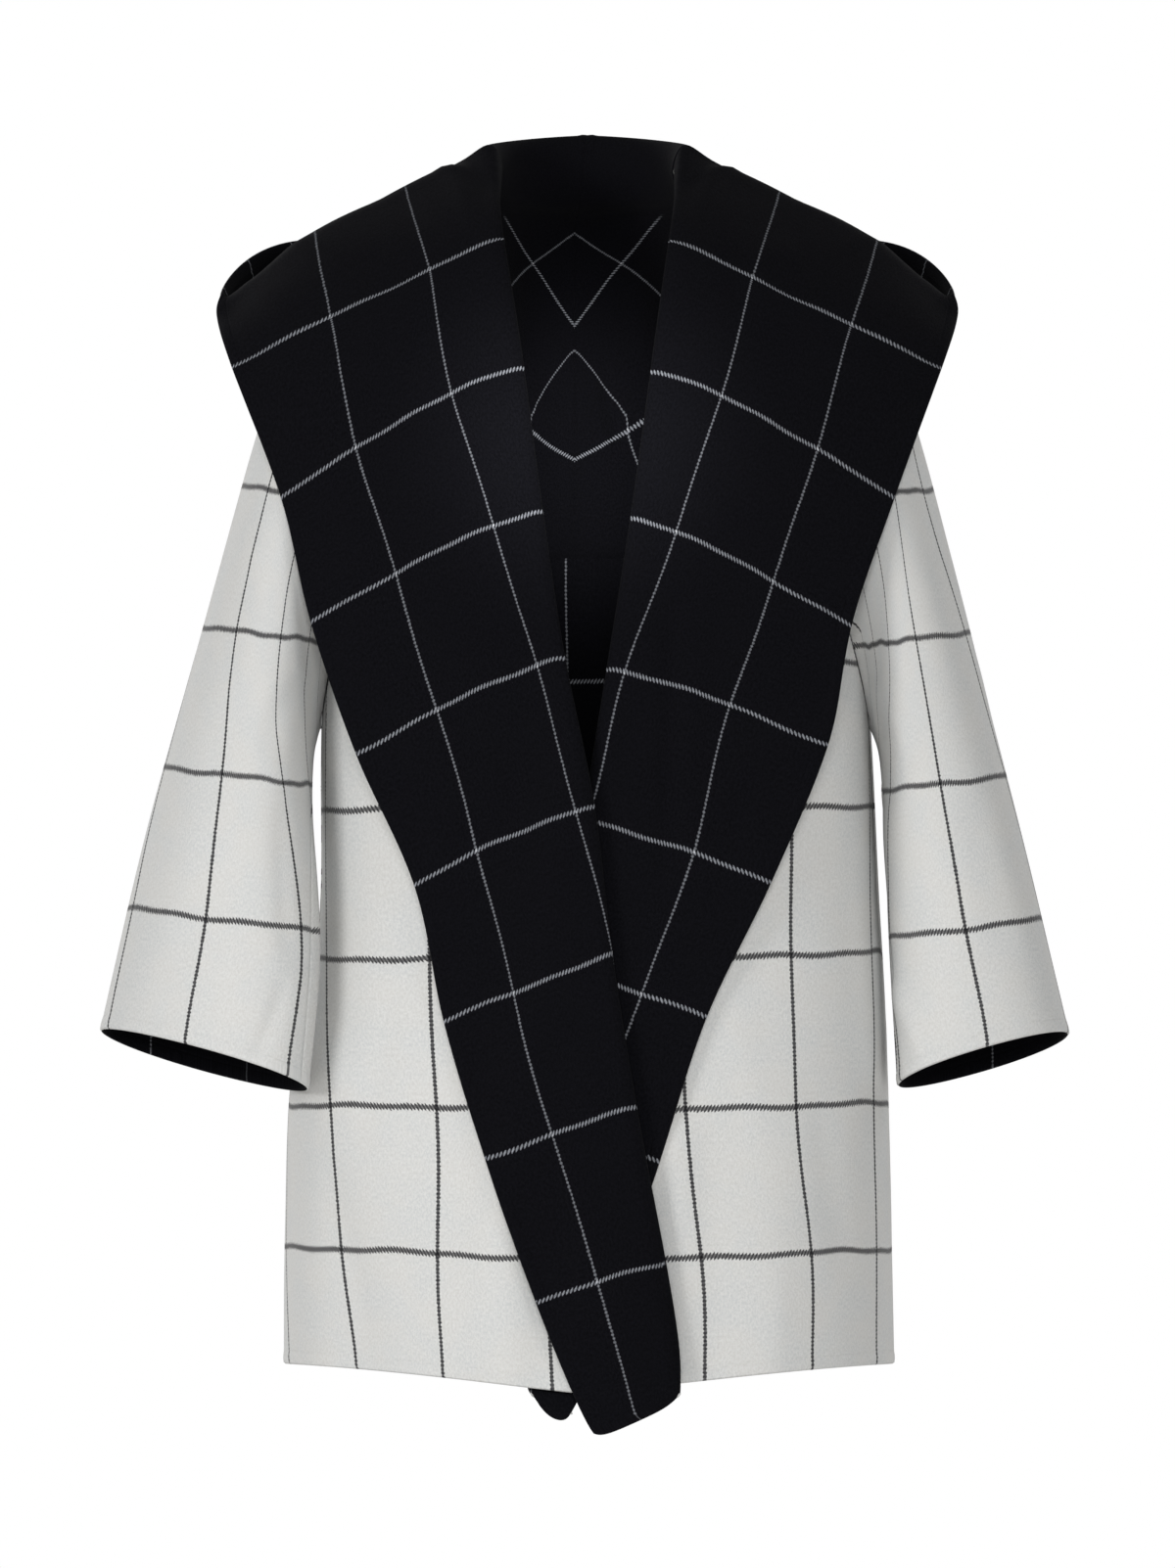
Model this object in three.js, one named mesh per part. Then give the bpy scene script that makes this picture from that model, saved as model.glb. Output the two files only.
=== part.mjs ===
// A hooded wrap coat of double-faced wool in its worn form, open and hollow.
// Millimetres. +Z is up, -Y is the front and +X is the wearer's left. The origin is the base of the neck,
// between the shoulders that hold the coat. In the tables x counts outwards from the centre, on both sides.
import * as THREE from "three";

// Cloth and seams
const CLOTH = 2.6; // thickness of the double-faced wool
const SEAM = 0.3; // gap between two pieces at a seam
const SEAM_EASE = 0.7; // more room where two walls meet at an angle
const HOOD_EASE = 1.2; // and along the hood's seams, where their angle changes
const FOLD_RADIUS = 4.2; // roll of the front edge, to the middle of the cloth
const ROLL_RADIUS = 8; // roll of the collar behind the neck
const ROLL_REACH = 1.7; // how far back from the fold the roll reaches, in its radii
const ROLL_EASE = 4; // how far back from the fold a front leaves the body's form, in fold radii
const LAYER = 15; // how far the right front is carried out by the left front and its lapel
const LAYER_REACH = 50; // width over which it comes out
const LAYER_START = 12; // how far from the left front's fold it is all out
const LAYER_TOP = 60; // depth below the neck where the two fronts begin to lie on each other
const LAYER_FULL = 380; // depth where they do so fully
const LAPEL_OFF = 8; // the lapels' distance from the front under them
const CORNER = 5; // rise of the hem at the lapels' rounded corners
const CORNER_POWER = 10; // how close to the edge the rounding keeps

// Body
const RIM_POWER = 2.4; // squareness of the level sections
const HEM_Z = -857;
const HEM_CURVE = 2.6; // over 1 keeps the fronts' rows level at the side and lets them sag at the fold
const DOME_Z = -200; // above this height the body rounds over to the shoulder seam
const NECK_X = 78; // half width between the neck points
const NECK_Z = -8; // height of the neck points
const SHOULDER_DROP = 0.425; // fall of the shoulder seam for each millimetre outwards
const SCOOP_Z = -240; // bottom of the scooped back neck
const SCOOP_POWER = 6; // squareness of the scoop
const UNDERARM_Z = -370;
const ARMHOLE_TURN = 60; // degrees round the body from the centre to the armhole's deepest point
const TIP_TURN = 86; // the same at the shoulder tip
const ARMHOLE_POWER = 0.8; // squareness of the armhole
const FOLD_GROWTH = 0.7; // share of a soft fold's length over which it deepens

// The cape-like form that the lapels lie on
const CAPE_HALF_WIDTH = 300;
const CAPE_POWER = 2.2;
const CAPE_DOME_Z = -260; // above this height the lapels lean back to their ridge
const RIDGE_Y = 10; // where the lapels pass over the shoulders
const RIDGE_INSIDE = 7; // the lapels climb to their ridge from this far inside the neck points
const RIDGE_OUTSIDE = 34; // to this far outside them
const RIDGE_SHARE = 0.62; // where the ridge lies between the last row of the check and the hood's seam
const RIDGE_DOME = 79; // dome of the front's own cloth in that row, in degrees
const RIDGE_FLARE = 6; // how far the lapel's corner reaches out there

// Steps of the grids
const PANEL_STEPS = 11;
const STAND_STEPS = 3;
const ROLL_STEPS = 3; // on each side of the fold
const LAPEL_STEPS = 14;
const FRONT_ROWS = 20;
const SHOULDER_STEPS = 5;
const HOOD_STEPS = 11;
const BACK_ROWS = 14;
const SLEEVE_STEPS = 22;
const SLEEVE_ROWS = 12;
const SLEEVE_JOIN = 1.2; // rings over which a sleeve leaves the armhole's edge
const BACK_SPACING = 0.85; // under 1 puts the back's rows closer together towards the top

// Level sections of the body: height, half widths on the wearer's right and left, depth of the front and back
const BODY = [
  { z: -900, right: 232, left: 235, front: 151, back: 141 },
  { z: -857, right: 231, left: 234, front: 150, back: 140 },
  { z: -750, right: 230, left: 232, front: 148, back: 137 },
  { z: -645, right: 227, left: 229, front: 145, back: 134 },
  { z: -590, right: 212, left: 227, front: 143, back: 132 },
  { z: -500, right: 203, left: 222, front: 140, back: 129 },
  { z: -400, right: 203, left: 217, front: 135, back: 126 },
  { z: -300, right: 202, left: 211, front: 130, back: 124 },
  { z: -200, right: 203, left: 205, front: 124, back: 122 },
];

// Rows of each front, from the hem up, one for each line of the check. The front runs from the side at sideZ to
// the fold, where it turns into the lapel. Width, fall (degrees) and bow are those of the lapel's row, dome is
// how far the front has rounded over to the shoulder (degrees), and lean turns the roll from level to upright.
const FRONT_RIGHT = [
  { sideZ: -857, foldX: -70, foldZ: -886, width: 71, fall: 24, bow: 0, dome: 0, lean: 0 },
  { sideZ: -768, foldX: -56, foldZ: -781, width: 99, fall: 17, bow: 1, dome: 0, lean: 0 },
  { sideZ: -660, foldX: -37, foldZ: -661, width: 121, fall: 19, bow: 2, dome: 0, lean: 0 },
  { sideZ: -548, foldX: -19, foldZ: -544, width: 138, fall: 22, bow: 2, dome: 0, lean: 0 },
  { sideZ: -433, foldX: -4, foldZ: -429, width: 149, fall: 24.7, bow: 5, dome: 0, lean: 0 },
  { sideZ: -316, foldX: 19, foldZ: -313, width: 175, fall: 26, bow: 3, dome: 0, lean: 0 },
  { sideZ: -203, foldX: 35, foldZ: -201, width: 197, fall: 26.6, bow: 6, dome: 0, lean: 0 },
  { sideZ: -200, foldX: 50, foldZ: -91, width: 211, fall: 29.5, bow: 9, dome: 38, lean: 0.08 },
  { sideZ: -200, foldX: 66, foldZ: 5, width: 228, fall: 25.8, bow: 2, dome: 64, lean: 0.35 },
];
const FRONT_LEFT = [
  { sideZ: -857, foldX: -44, foldZ: -882, width: 36, fall: 30, bow: -6, dome: 0, lean: 0 },
  { sideZ: -770, foldX: -50, foldZ: -782, width: 73, fall: 19, bow: 1, dome: 0, lean: 0 },
  { sideZ: -658, foldX: -35, foldZ: -667, width: 96, fall: 21.7, bow: 1, dome: 0, lean: 0 },
  { sideZ: -542, foldX: -17, foldZ: -553, width: 114, fall: 20, bow: 1, dome: 0, lean: 0 },
  { sideZ: -430, foldX: -2, foldZ: -439, width: 150, fall: 19.5, bow: 2, dome: 0, lean: 0 },
  { sideZ: -320, foldX: 16, foldZ: -322, width: 178, fall: 20.2, bow: 3, dome: 0, lean: 0 },
  { sideZ: -203, foldX: 34, foldZ: -206, width: 188, fall: 27.4, bow: 5, dome: 0, lean: 0 },
  { sideZ: -200, foldX: 50, foldZ: -94, width: 210, fall: 28.8, bow: 8, dome: 38, lean: 0.08 },
  { sideZ: -200, foldX: 64, foldZ: 4, width: 229, fall: 25.6, bow: 0, dome: 64, lean: 0.35 },
];

// The ridge where the lapels pass over the shoulders
const RIDGE = [
  { x: 60, z: 79 },
  { x: 76, z: 77 },
  { x: 97, z: 65 },
  { x: 112, z: 52.5 },
  { x: 150, z: 33 },
  { x: 214, z: 4.5 },
  { x: 255, z: -29 },
  { x: 284, z: -55 },
  { x: 300, z: -70 },
];

// Rails of a hood half, from the neck seam to the free rim. Each runs from the seam on top of the shoulder
// (sideX, sideY, sideZ) to the centre back (backY, backZ), and lift raises it half way.
const HOOD = [
  { name: "neck wall", sideX: 77.5, sideY: 4, sideZ: 12, backY: 113, backZ: -110, lift: 0 },
  { name: "under the band", sideX: 77, sideY: 8, sideZ: 26, backY: 106, backZ: 16, lift: 0 },
  { name: "band foot", sideX: 71, sideY: 11, sideZ: 42, backY: 85, backZ: 36, lift: 0 },
  { name: "band", sideX: 67, sideY: 15, sideZ: 60, backY: 79, backZ: 58, lift: 0 },
  { name: "roll", sideX: 74, sideY: 19, sideZ: 76, backY: 92, backZ: 84, lift: 0 },
  { name: "behind the roll", sideX: 96, sideY: 24, sideZ: 64, backY: 116, backZ: 68, lift: 0 },
  { name: "shoulder", sideX: 152, sideY: 28, sideZ: 34, backY: 134, backZ: 20, lift: 0 },
  { name: "outer shoulder", sideX: 214, sideY: 30, sideZ: 3, backY: 144, backZ: -50, lift: -6 },
  { name: "bag inside", sideX: 247, sideY: 31, sideZ: -26, backY: 148, backZ: -138, lift: -12 },
  { name: "bag floor", sideX: 263, sideY: 31, sideZ: -42, backY: 161, backZ: -202, lift: -16 },
  { name: "bag turn", sideX: 271, sideY: 30, sideZ: -46, backY: 180, backZ: -196, lift: -6 },
  { name: "bag outside", sideX: 277, sideY: 28, sideZ: -43, backY: 193, backZ: -126, lift: 20 },
  { name: "rim", sideX: 281, sideY: 26, sideZ: -38, backY: 181, backZ: -58, lift: 52 },
];
const ROLL_KEY = 5; // the roll's place among a section's key points, after the seam and four rails
const LAST_KEY = HOOD.length;
const LIFT_POWER = 1.4; // over 1 makes a rail's lift start slowly at the side and the centre

// Rings of the sleeves, from the armhole to the cuff: the outer point, the height of the under point, the half
// depth, and how much lower the ring's back is than its front
const SLEEVES = [
  { outX: 211, outY: 0, outZ: -63, underZ: -371, deep: 72, tilt: 0 },
  { outX: 236, outY: 0, outZ: -98, underZ: -378, deep: 77, tilt: 0 },
  { outX: 257, outY: 0, outZ: -160, underZ: -394, deep: 76, tilt: 0 },
  { outX: 284, outY: -2, outZ: -265, underZ: -430, deep: 71, tilt: 0 },
  { outX: 311, outY: -6, outZ: -380, underZ: -484, deep: 64, tilt: 2 },
  { outX: 340, outY: -10, outZ: -495, underZ: -552, deep: 57, tilt: 8 },
  { outX: 367, outY: -16, outZ: -602, underZ: -636, deep: 52, tilt: 19 },
];
// The under point of each of those rings, on the wearer's right and left
const SLEEVE_UNDERS = [
  { rightX: 206, rightY: 0, leftX: 219, leftY: 0 },
  { rightX: 208, rightY: -12, leftX: 222, leftY: -6 },
  { rightX: 211, rightY: -32, leftX: 226, leftY: -12 },
  { rightX: 213, rightY: -60, leftX: 229, leftY: -22 },
  { rightX: 213, rightY: -86, leftX: 232, leftY: -34 },
  { rightX: 214, rightY: -104, leftX: 235, leftY: -42 },
  { rightX: 221, rightY: -116, leftX: 239, leftY: -50 },
];
const SLEEVE_POWER = 2.1; // squareness of the rings

// Soft folds of the body below the chest: where each starts and ends, its half width, and how far it stands out
const FOLDS = [
  { face: -1, x0: -36, z0: -640, x1: -30, z1: -880, half: 24, deep: -5 },
  { face: -1, x0: -206, z0: -640, x1: -172, z1: -880, half: 26, deep: -6 },
  { face: -1, x0: -110, z0: -600, x1: -104, z1: -880, half: 34, deep: 4 },
  { face: -1, x0: 72, z0: -620, x1: 66, z1: -880, half: 22, deep: -5 },
  { face: -1, x0: 150, z0: -560, x1: 140, z1: -880, half: 36, deep: 5 },
  { face: 1, x0: -120, z0: -420, x1: -142, z1: -880, half: 34, deep: 8 },
  { face: 1, x0: -30, z0: -520, x1: -26, z1: -880, half: 30, deep: -7 },
  { face: 1, x0: 70, z0: -460, x1: 92, z1: -880, half: 32, deep: 7 },
  { face: 1, x0: 158, z0: -560, x1: 170, z1: -880, half: 28, deep: -6 },
];

const { clamp, lerp, smoothstep, degToRad, radToDeg } = THREE.MathUtils;
const vec = (x, y, z) => new THREE.Vector3(x, y, z);

// A smooth value between four neighbours, t of the way from the second to the third.
function between(a, b, c, d, t) {
  const bend = 2 * a - 5 * b + 4 * c - d;
  const twist = 3 * (b - c) + d - a;
  return 0.5 * (2 * b + (c - a) * t + bend * t * t + twist * t * t * t);
}

// One column of a table at a position counted in rows.
function column(rows, key, at) {
  const last = rows.length - 1;
  const i = clamp(Math.floor(at), 0, last - 1);
  const [a, b, c, d] = [i - 1, i, i + 1, i + 2].map((k) => rows[clamp(k, 0, last)][key]);
  return between(a, b, c, d, clamp(at - i, 0, 1));
}

// All columns of a table at that position.
function rowOf(rows, at) {
  return Object.fromEntries(Object.keys(rows[0]).map((key) => [key, column(rows, key, at)]));
}

// The position, in rows, where a rising column passes a value.
function rowWhere(rows, key, value) {
  let i = 0;
  while (i < rows.length - 2 && rows[i + 1][key] < value) i++;
  return i + clamp((value - rows[i][key]) / (rows[i + 1][key] - rows[i][key]), 0, 1);
}

const bodyWidth = (side, z) => column(BODY, side < 0 ? "right" : "left", rowWhere(BODY, "z", z));
const bodyDepth = (face, z) => column(BODY, face < 0 ? "front" : "back", rowWhere(BODY, "z", z));
const rounded = (share, power) => Math.pow(Math.max(0, 1 - Math.pow(Math.min(1, share), power)), 1 / power);
const shoulderZ = (x) => NECK_Z - Math.max(0, Math.abs(x) - NECK_X) * SHOULDER_DROP;
const ridgeZ = (x) => column(RIDGE, "z", rowWhere(RIDGE, "x", x));

// How far the soft folds carry the cloth out at a point of the front (-1) or back (1), x in the coat's frame.
function foldsAt(face, x, z) {
  let out = 0;
  for (const fold of FOLDS.filter((f) => f.face === face)) {
    const along = (z - fold.z0) / (fold.z1 - fold.z0);
    const from = (x - lerp(fold.x0, fold.x1, along)) / fold.half;
    out += fold.deep * smoothstep(along, 0, FOLD_GROWTH) * Math.exp(-from * from);
  }
  return out;
}

// A point of the body on the front (-1) or back (1): turn in degrees from the centre towards the side, a height,
// and above DOME_Z the dome in degrees up to the shoulder seam.
function bodyPoint(side, face, turn, height, dome) {
  const z = dome > 0 ? DOME_Z : height;
  const way = side * (turn < 0 ? -1 : 1);
  const x = way * bodyWidth(way, z) * Math.pow(Math.abs(Math.sin(degToRad(turn))), 2 / RIM_POWER);
  const deep = bodyDepth(face, z) * Math.pow(Math.max(0, Math.cos(degToRad(turn))), 2 / RIM_POWER);
  const y = face * (deep * Math.cos(degToRad(dome)) + foldsAt(face, x, z));
  return vec(x, y, dome > 0 ? lerp(z, shoulderZ(x), Math.sin(degToRad(dome))) : z);
}

// The turn that brings a body point to x.
function turnTo(side, x, z) {
  const way = x < 0 ? -1 : 1;
  const share = clamp(Math.abs(x) / bodyWidth(side * way, Math.min(z, DOME_Z)), 0, 1);
  return way * radToDeg(Math.asin(Math.pow(share, RIM_POWER / 2)));
}

// The dome at a point above DOME_Z.
function domeTo(x, z) {
  if (z <= DOME_Z) return 0;
  return radToDeg(Math.asin(clamp((z - DOME_Z) / (shoulderZ(x) - DOME_Z), 0, 1)));
}

// How far round the body a panel reaches: to the side seam, and above it to the armhole.
function panelEdge(height, dome) {
  const up = clamp((height - UNDERARM_Z) / (DOME_Z - UNDERARM_Z), 0, 1);
  const deepest = lerp(90, ARMHOLE_TURN, Math.pow(Math.sin((Math.PI / 2) * up), ARMHOLE_POWER));
  return lerp(deepest, TIP_TURN, Math.pow(dome / 90, 2));
}

// Where a lapel lies from front to back, x in the coat's frame: on a form that leans back to the ridge.
function lapelY(x, z) {
  const level = Math.min(z, DOME_Z);
  const round = rounded(Math.abs(x) / CAPE_HALF_WIDTH, CAPE_POWER);
  const deep = (bodyDepth(-1, level) + LAPEL_OFF) * round + foldsAt(-1, x, level);
  const up = clamp((z - CAPE_DOME_Z) / (ridgeZ(Math.abs(x)) - CAPE_DOME_Z), 0, 1);
  return RIDGE_Y - (RIDGE_Y + deep) * Math.sqrt(1 - up * up);
}

// How far the right front is carried out over the left front's fold, x in the coat's frame.
function carriedOut(x, z) {
  const under = column(FRONT_LEFT, "foldX", rowWhere(FRONT_LEFT, "foldZ", z));
  const out = smoothstep(x, under - LAYER_START - LAYER_REACH, under - LAYER_START);
  return LAYER * out * smoothstep(-z, LAYER_TOP, LAYER_FULL);
}

// Points on a smooth curve through key points, with a number of steps for each stretch between two keys named
// by their place: [[from, to, steps], ...].
function through(keys, stretches) {
  const curve = new THREE.CatmullRomCurve3(keys, false, "centripetal");
  const points = [curve.getPoint(stretches[0][0] / (keys.length - 1))];
  for (const [from, to, steps] of stretches)
    for (let k = 1; k <= steps; k++) points.push(curve.getPoint(lerp(from, to, k / steps) / (keys.length - 1)));
  return points;
}

// The hood's neck seam, on the scoop of the back: s runs from the neck point (0) to the centre back (1).
function scoopPoint(side, s, inset) {
  const share = Math.pow(Math.max(0, Math.cos((Math.PI / 2) * s)), 1 / 3);
  const x = NECK_X * share;
  const z = lerp(SCOOP_Z, NECK_Z, Math.pow(share, SCOOP_POWER));
  const slope = ((NECK_Z - SCOOP_Z) * SCOOP_POWER * Math.pow(share, SCOOP_POWER - 1)) / NECK_X;
  const across = inset / Math.hypot(1, slope);
  const [inX, inZ] = [x - across * slope, z + across];
  const p = bodyPoint(side, 1, turnTo(side, inX, inZ), inZ, domeTo(inX, inZ));
  return vec(side * Math.max(0, inX), p.y, inZ);
}

// One section of the hood at s, from the neck seam to the rim, as key points.
function hoodKeys(side, s) {
  const turn = (Math.PI / 2) * s;
  const down = (s + smoothstep(s, 0, 1)) / 2;
  const rails = HOOD.map((rail) => {
    const z = lerp(rail.sideZ, rail.backZ, down) + rail.lift * Math.pow(Math.max(0, Math.sin(2 * turn)), LIFT_POWER);
    return vec(side * rail.sideX * Math.cos(turn), lerp(rail.sideY, rail.backY, Math.sin(turn)), z);
  });
  return [scoopPoint(side, s, HOOD_EASE), ...rails];
}

const SECTION_STEPS = [
  [0, ROLL_KEY - 1, STAND_STEPS],
  [ROLL_KEY - 1, ROLL_KEY, ROLL_STEPS],
  [ROLL_KEY, ROLL_KEY + 1, ROLL_STEPS],
  [ROLL_KEY + 1, LAST_KEY, LAPEL_STEPS],
];

// The direction of a line of points at one of them, on a curve through it and its neighbours.
function slope(point, i, count, closed) {
  if (closed) return point((i + 1) % count).clone().sub(point((i + count - 1) % count));
  if (i > 0 && i < count - 1) return point(i + 1).clone().sub(point(i - 1));
  const step = i === 0 ? 1 : -1;
  const ahead = point(i + step).clone().sub(point(i)).multiplyScalar(4);
  return ahead.sub(point(i + 2 * step).clone().sub(point(i))).multiplyScalar(step);
}

// The closed wall round a grid of points in the middle of the cloth: grid[row][column]. Rows run up and columns
// run round to the wearer's left as seen from outside. A tube is closed round its columns.
function wall(grid, tube = false) {
  const rows = grid.length;
  const columns = grid[0].length;
  const outer = [];
  const inner = [];
  for (let r = 0; r < rows; r++)
    for (let c = 0; c < columns; c++) {
      const up = slope((k) => grid[k][c], r, rows, false);
      const across = slope((k) => grid[r][k], c, columns, tube);
      const out = across.cross(up).setLength(CLOTH / 2);
      outer.push(grid[r][c].clone().add(out));
      inner.push(grid[r][c].clone().sub(out));
    }
  const behind = rows * columns;
  const top = (rows - 1) * columns;
  const triangles = [];
  const quad = (a, b, c, d) => triangles.push(a, b, c, a, c, d);
  const spans = tube ? columns : columns - 1;
  for (let c = 0; c < spans; c++) {
    const next = (c + 1) % columns;
    for (let r = 0; r < rows - 1; r++) {
      const low = r * columns;
      const high = low + columns;
      quad(low + c, low + next, high + next, high + c);
      quad(behind + low + c, behind + high + c, behind + high + next, behind + low + next);
    }
    quad(behind + c, behind + next, next, c);
    quad(top + c, top + next, behind + top + next, behind + top + c);
  }
  if (!tube)
    for (let r = 0; r < rows - 1; r++) {
      const low = r * columns;
      const high = low + columns;
      const end = columns - 1;
      quad(behind + low, low, high, behind + high);
      quad(low + end, behind + low + end, behind + high + end, high + end);
    }
  const geometry = new THREE.BufferGeometry();
  const points = [...outer, ...inner].flatMap((p) => p.toArray());
  geometry.setAttribute("position", new THREE.Float32BufferAttribute(points, 3));
  geometry.setIndex(triangles);
  geometry.computeVertexNormals();
  return geometry;
}

// Draws the edge of a grid back from a seam by a distance, over the given columns of a row.
function drawBack(edge, next, distance, from = 0, to = edge.length - 1) {
  for (let c = from; c <= to; c++) edge[c].add(next[c].clone().sub(edge[c]).setLength(distance));
}
function drawBackSide(grid, c, next, distance) {
  for (const row of grid) row[c].add(row[next].clone().sub(row[c]).setLength(distance));
}

// One row of a front from the table: the front from its side edge, the roll of the fold, and the lapel.
function frontRow(side, table, at) {
  const row = rowOf(table, at);
  const lift = (x, z) => (side < 0 ? carriedOut(side * x, z) : 0);
  const fold = vec(side * row.foldX, 0, row.foldZ);
  fold.y = lapelY(fold.x, row.foldZ) + FOLD_RADIUS - lift(row.foldX, row.foldZ);
  const apex = vec(-side * (1 - row.lean), 0, row.lean).normalize();
  const out = vec(side * row.lean, -(1 - row.lean), 0).normalize();
  const radius = lerp(FOLD_RADIUS, ROLL_RADIUS, row.lean);
  const reach = ROLL_REACH * radius;
  const beside = (way) => fold.clone().addScaledVector(apex, -reach).addScaledVector(out, way * radius);
  const height = (t) => lerp(row.sideZ, row.foldZ, Math.pow(t, HEM_CURVE));
  const edge = panelEdge(row.sideZ, row.dome);
  const leave = turnTo(side, lerp(row.foldX + ROLL_EASE * FOLD_RADIUS, NECK_X, row.lean), row.foldZ);
  const panel = [];
  for (let i = 0; i <= PANEL_STEPS; i++) {
    const t = i / PANEL_STEPS;
    const p = bodyPoint(side, -1, lerp(edge, leave, t), height(t), row.dome);
    p.y -= lift(side * p.x, p.z);
    panel.push(p);
  }
  const angle = degToRad(row.fall);
  const lapel = [];
  for (let i = 1; i <= LAPEL_STEPS; i++) {
    const t = lerp(reach / row.width, 1, i / LAPEL_STEPS);
    const x = row.foldX + row.width * t * Math.cos(angle);
    const corner = CORNER * Math.pow(t, CORNER_POWER) * Math.pow(Math.max(0, 1 - 2 * at), 2);
    const z = row.foldZ - row.width * t * Math.sin(angle) + row.bow * Math.sin(Math.PI * t) + corner;
    lapel.push(vec(side * x, lapelY(side * x, z) - lift(x, z), z));
  }
  const keys = [panel[PANEL_STEPS], beside(-1), fold, beside(1), lapel[0]];
  const roll = through(keys, [
    [0, 1, STAND_STEPS],
    [1, 2, ROLL_STEPS],
    [2, 3, ROLL_STEPS],
  ]);
  return [...panel.slice(0, -1), ...roll, ...lapel];
}

// The last row of a front: the shoulder seam, and then the seam to the hood.
function seamRow(side) {
  const shoulder = [];
  for (let i = 0; i < PANEL_STEPS; i++) {
    const turn = lerp(TIP_TURN, turnTo(side, NECK_X, DOME_Z), i / PANEL_STEPS);
    shoulder.push(bodyPoint(side, -1, turn, DOME_Z, 90));
  }
  return [...shoulder, ...through(hoodKeys(side, 0), SECTION_STEPS)];
}

// The row before it, on the ridge over the shoulder.
function ridgeRow(side, below, seam) {
  const first = PANEL_STEPS + STAND_STEPS + 2 * ROLL_STEPS;
  const edge = lerp(panelEdge(DOME_Z, RIDGE_DOME), TIP_TURN, 0.3); // a little past the armhole, as the seam is
  return seam.map((end, c) => {
    const p = below[c].clone().lerp(end, RIDGE_SHARE);
    if (c <= PANEL_STEPS) {
      const turn = lerp(edge, turnTo(side, NECK_X, DOME_Z), c / PANEL_STEPS);
      return bodyPoint(side, -1, turn, DOME_Z, RIDGE_DOME);
    }
    if (c <= first - ROLL_STEPS) return p;
    const x = Math.abs(p.x) + RIDGE_FLARE * Math.pow(Math.max(0, (c - first) / LAPEL_STEPS), 6);
    const risen = smoothstep(x, NECK_X - RIDGE_INSIDE, NECK_X + RIDGE_OUTSIDE);
    return vec(side * x, lerp(p.y, RIDGE_Y, risen), lerp(p.z, ridgeZ(x), risen));
  });
}

// A front with its lapel, cut in one. Side -1 is the wearer's right, carried over the left one.
function frontPiece(side, table) {
  const last = table.length - 1;
  const seam = seamRow(side);
  const below = frontRow(side, table, last);
  const keys = [frontRow(side, table, last - 1), below, ridgeRow(side, below, seam), seam, seam];
  const grid = [];
  for (let r = 0; r <= FRONT_ROWS; r++) {
    const at = ((last + 2) * r) / FRONT_ROWS;
    if (at <= last) {
      grid.push(frontRow(side, table, at));
      continue;
    }
    const i = Math.min(Math.floor(at - last), 1);
    const t = at - last - i;
    const mix = (c, k) => between(keys[i][c][k], keys[i + 1][c][k], keys[i + 2][c][k], keys[i + 3][c][k], t);
    grid.push(seam.map((_, c) => vec(mix(c, "x"), mix(c, "y"), mix(c, "z"))));
  }
  drawBack(grid[FRONT_ROWS], grid[FRONT_ROWS - 1], HOOD_EASE);
  drawBackSide(grid, 0, 1, SEAM_EASE);
  return wall(side < 0 ? grid : grid.map((row) => row.reverse()));
}

// The back: its columns start at the shoulder seams and the scoop and spread down to the hem.
function backPiece() {
  const half = SHOULDER_STEPS + HOOD_STEPS;
  const grid = [];
  for (let r = 0; r <= BACK_ROWS; r++) {
    const up = Math.pow(r / BACK_ROWS, BACK_SPACING);
    const row = [];
    for (let c = -half; c <= half; c++) {
      const side = c < 0 ? -1 : 1;
      const place = half - Math.abs(c); // 0 at the shoulder tip
      const neck = turnTo(side, NECK_X, DOME_Z);
      const scoop = scoopPoint(side, (place - SHOULDER_STEPS) / HOOD_STEPS, -HOOD_EASE);
      const onShoulder = place <= SHOULDER_STEPS;
      const topX = Math.abs(scoop.x);
      const topTurn = onShoulder ? lerp(TIP_TURN, neck, place / SHOULDER_STEPS) : turnTo(side, topX, scoop.z);
      const topDome = onShoulder ? 90 : domeTo(topX, scoop.z);
      const topZ = onShoulder ? DOME_Z : Math.min(scoop.z, DOME_Z);
      // Levels run 0 to 1 up to DOME_Z and 1 to 2 over the dome
      const topLevel = topDome > 0 ? 1 + topDome / 90 : (topZ - HEM_Z) / (DOME_Z - HEM_Z);
      const level = up * topLevel;
      const height = lerp(HEM_Z, DOME_Z, Math.min(1, level));
      const dome = 90 * Math.max(0, level - 1);
      const topShare = topTurn / panelEdge(topZ, topDome);
      const share = lerp(Math.abs(c) / half, topShare, up);
      row.push(bodyPoint(side, 1, share * panelEdge(height, dome), height, dome));
    }
    grid.push(row.reverse());
  }
  drawBack(grid[BACK_ROWS], grid[BACK_ROWS - 1], SEAM_EASE, 0, SHOULDER_STEPS);
  drawBack(grid[BACK_ROWS], grid[BACK_ROWS - 1], SEAM_EASE, 2 * half - SHOULDER_STEPS, 2 * half);
  drawBackSide(grid, 0, 1, SEAM_EASE);
  drawBackSide(grid, 2 * half, 2 * half - 1, SEAM_EASE);
  return wall(grid);
}

// A point of the armhole's edge at a height: the edge of the front (-1) or back (1) panel.
function armholePoint(side, face, z) {
  const tip = shoulderZ(bodyWidth(side, DOME_Z));
  const dome = z > DOME_Z ? radToDeg(Math.asin(clamp((z - DOME_Z) / (tip - DOME_Z), 0, 1))) : 0;
  return bodyPoint(side, face, panelEdge(Math.min(z, DOME_Z), dome), Math.min(z, DOME_Z), dome);
}

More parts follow.
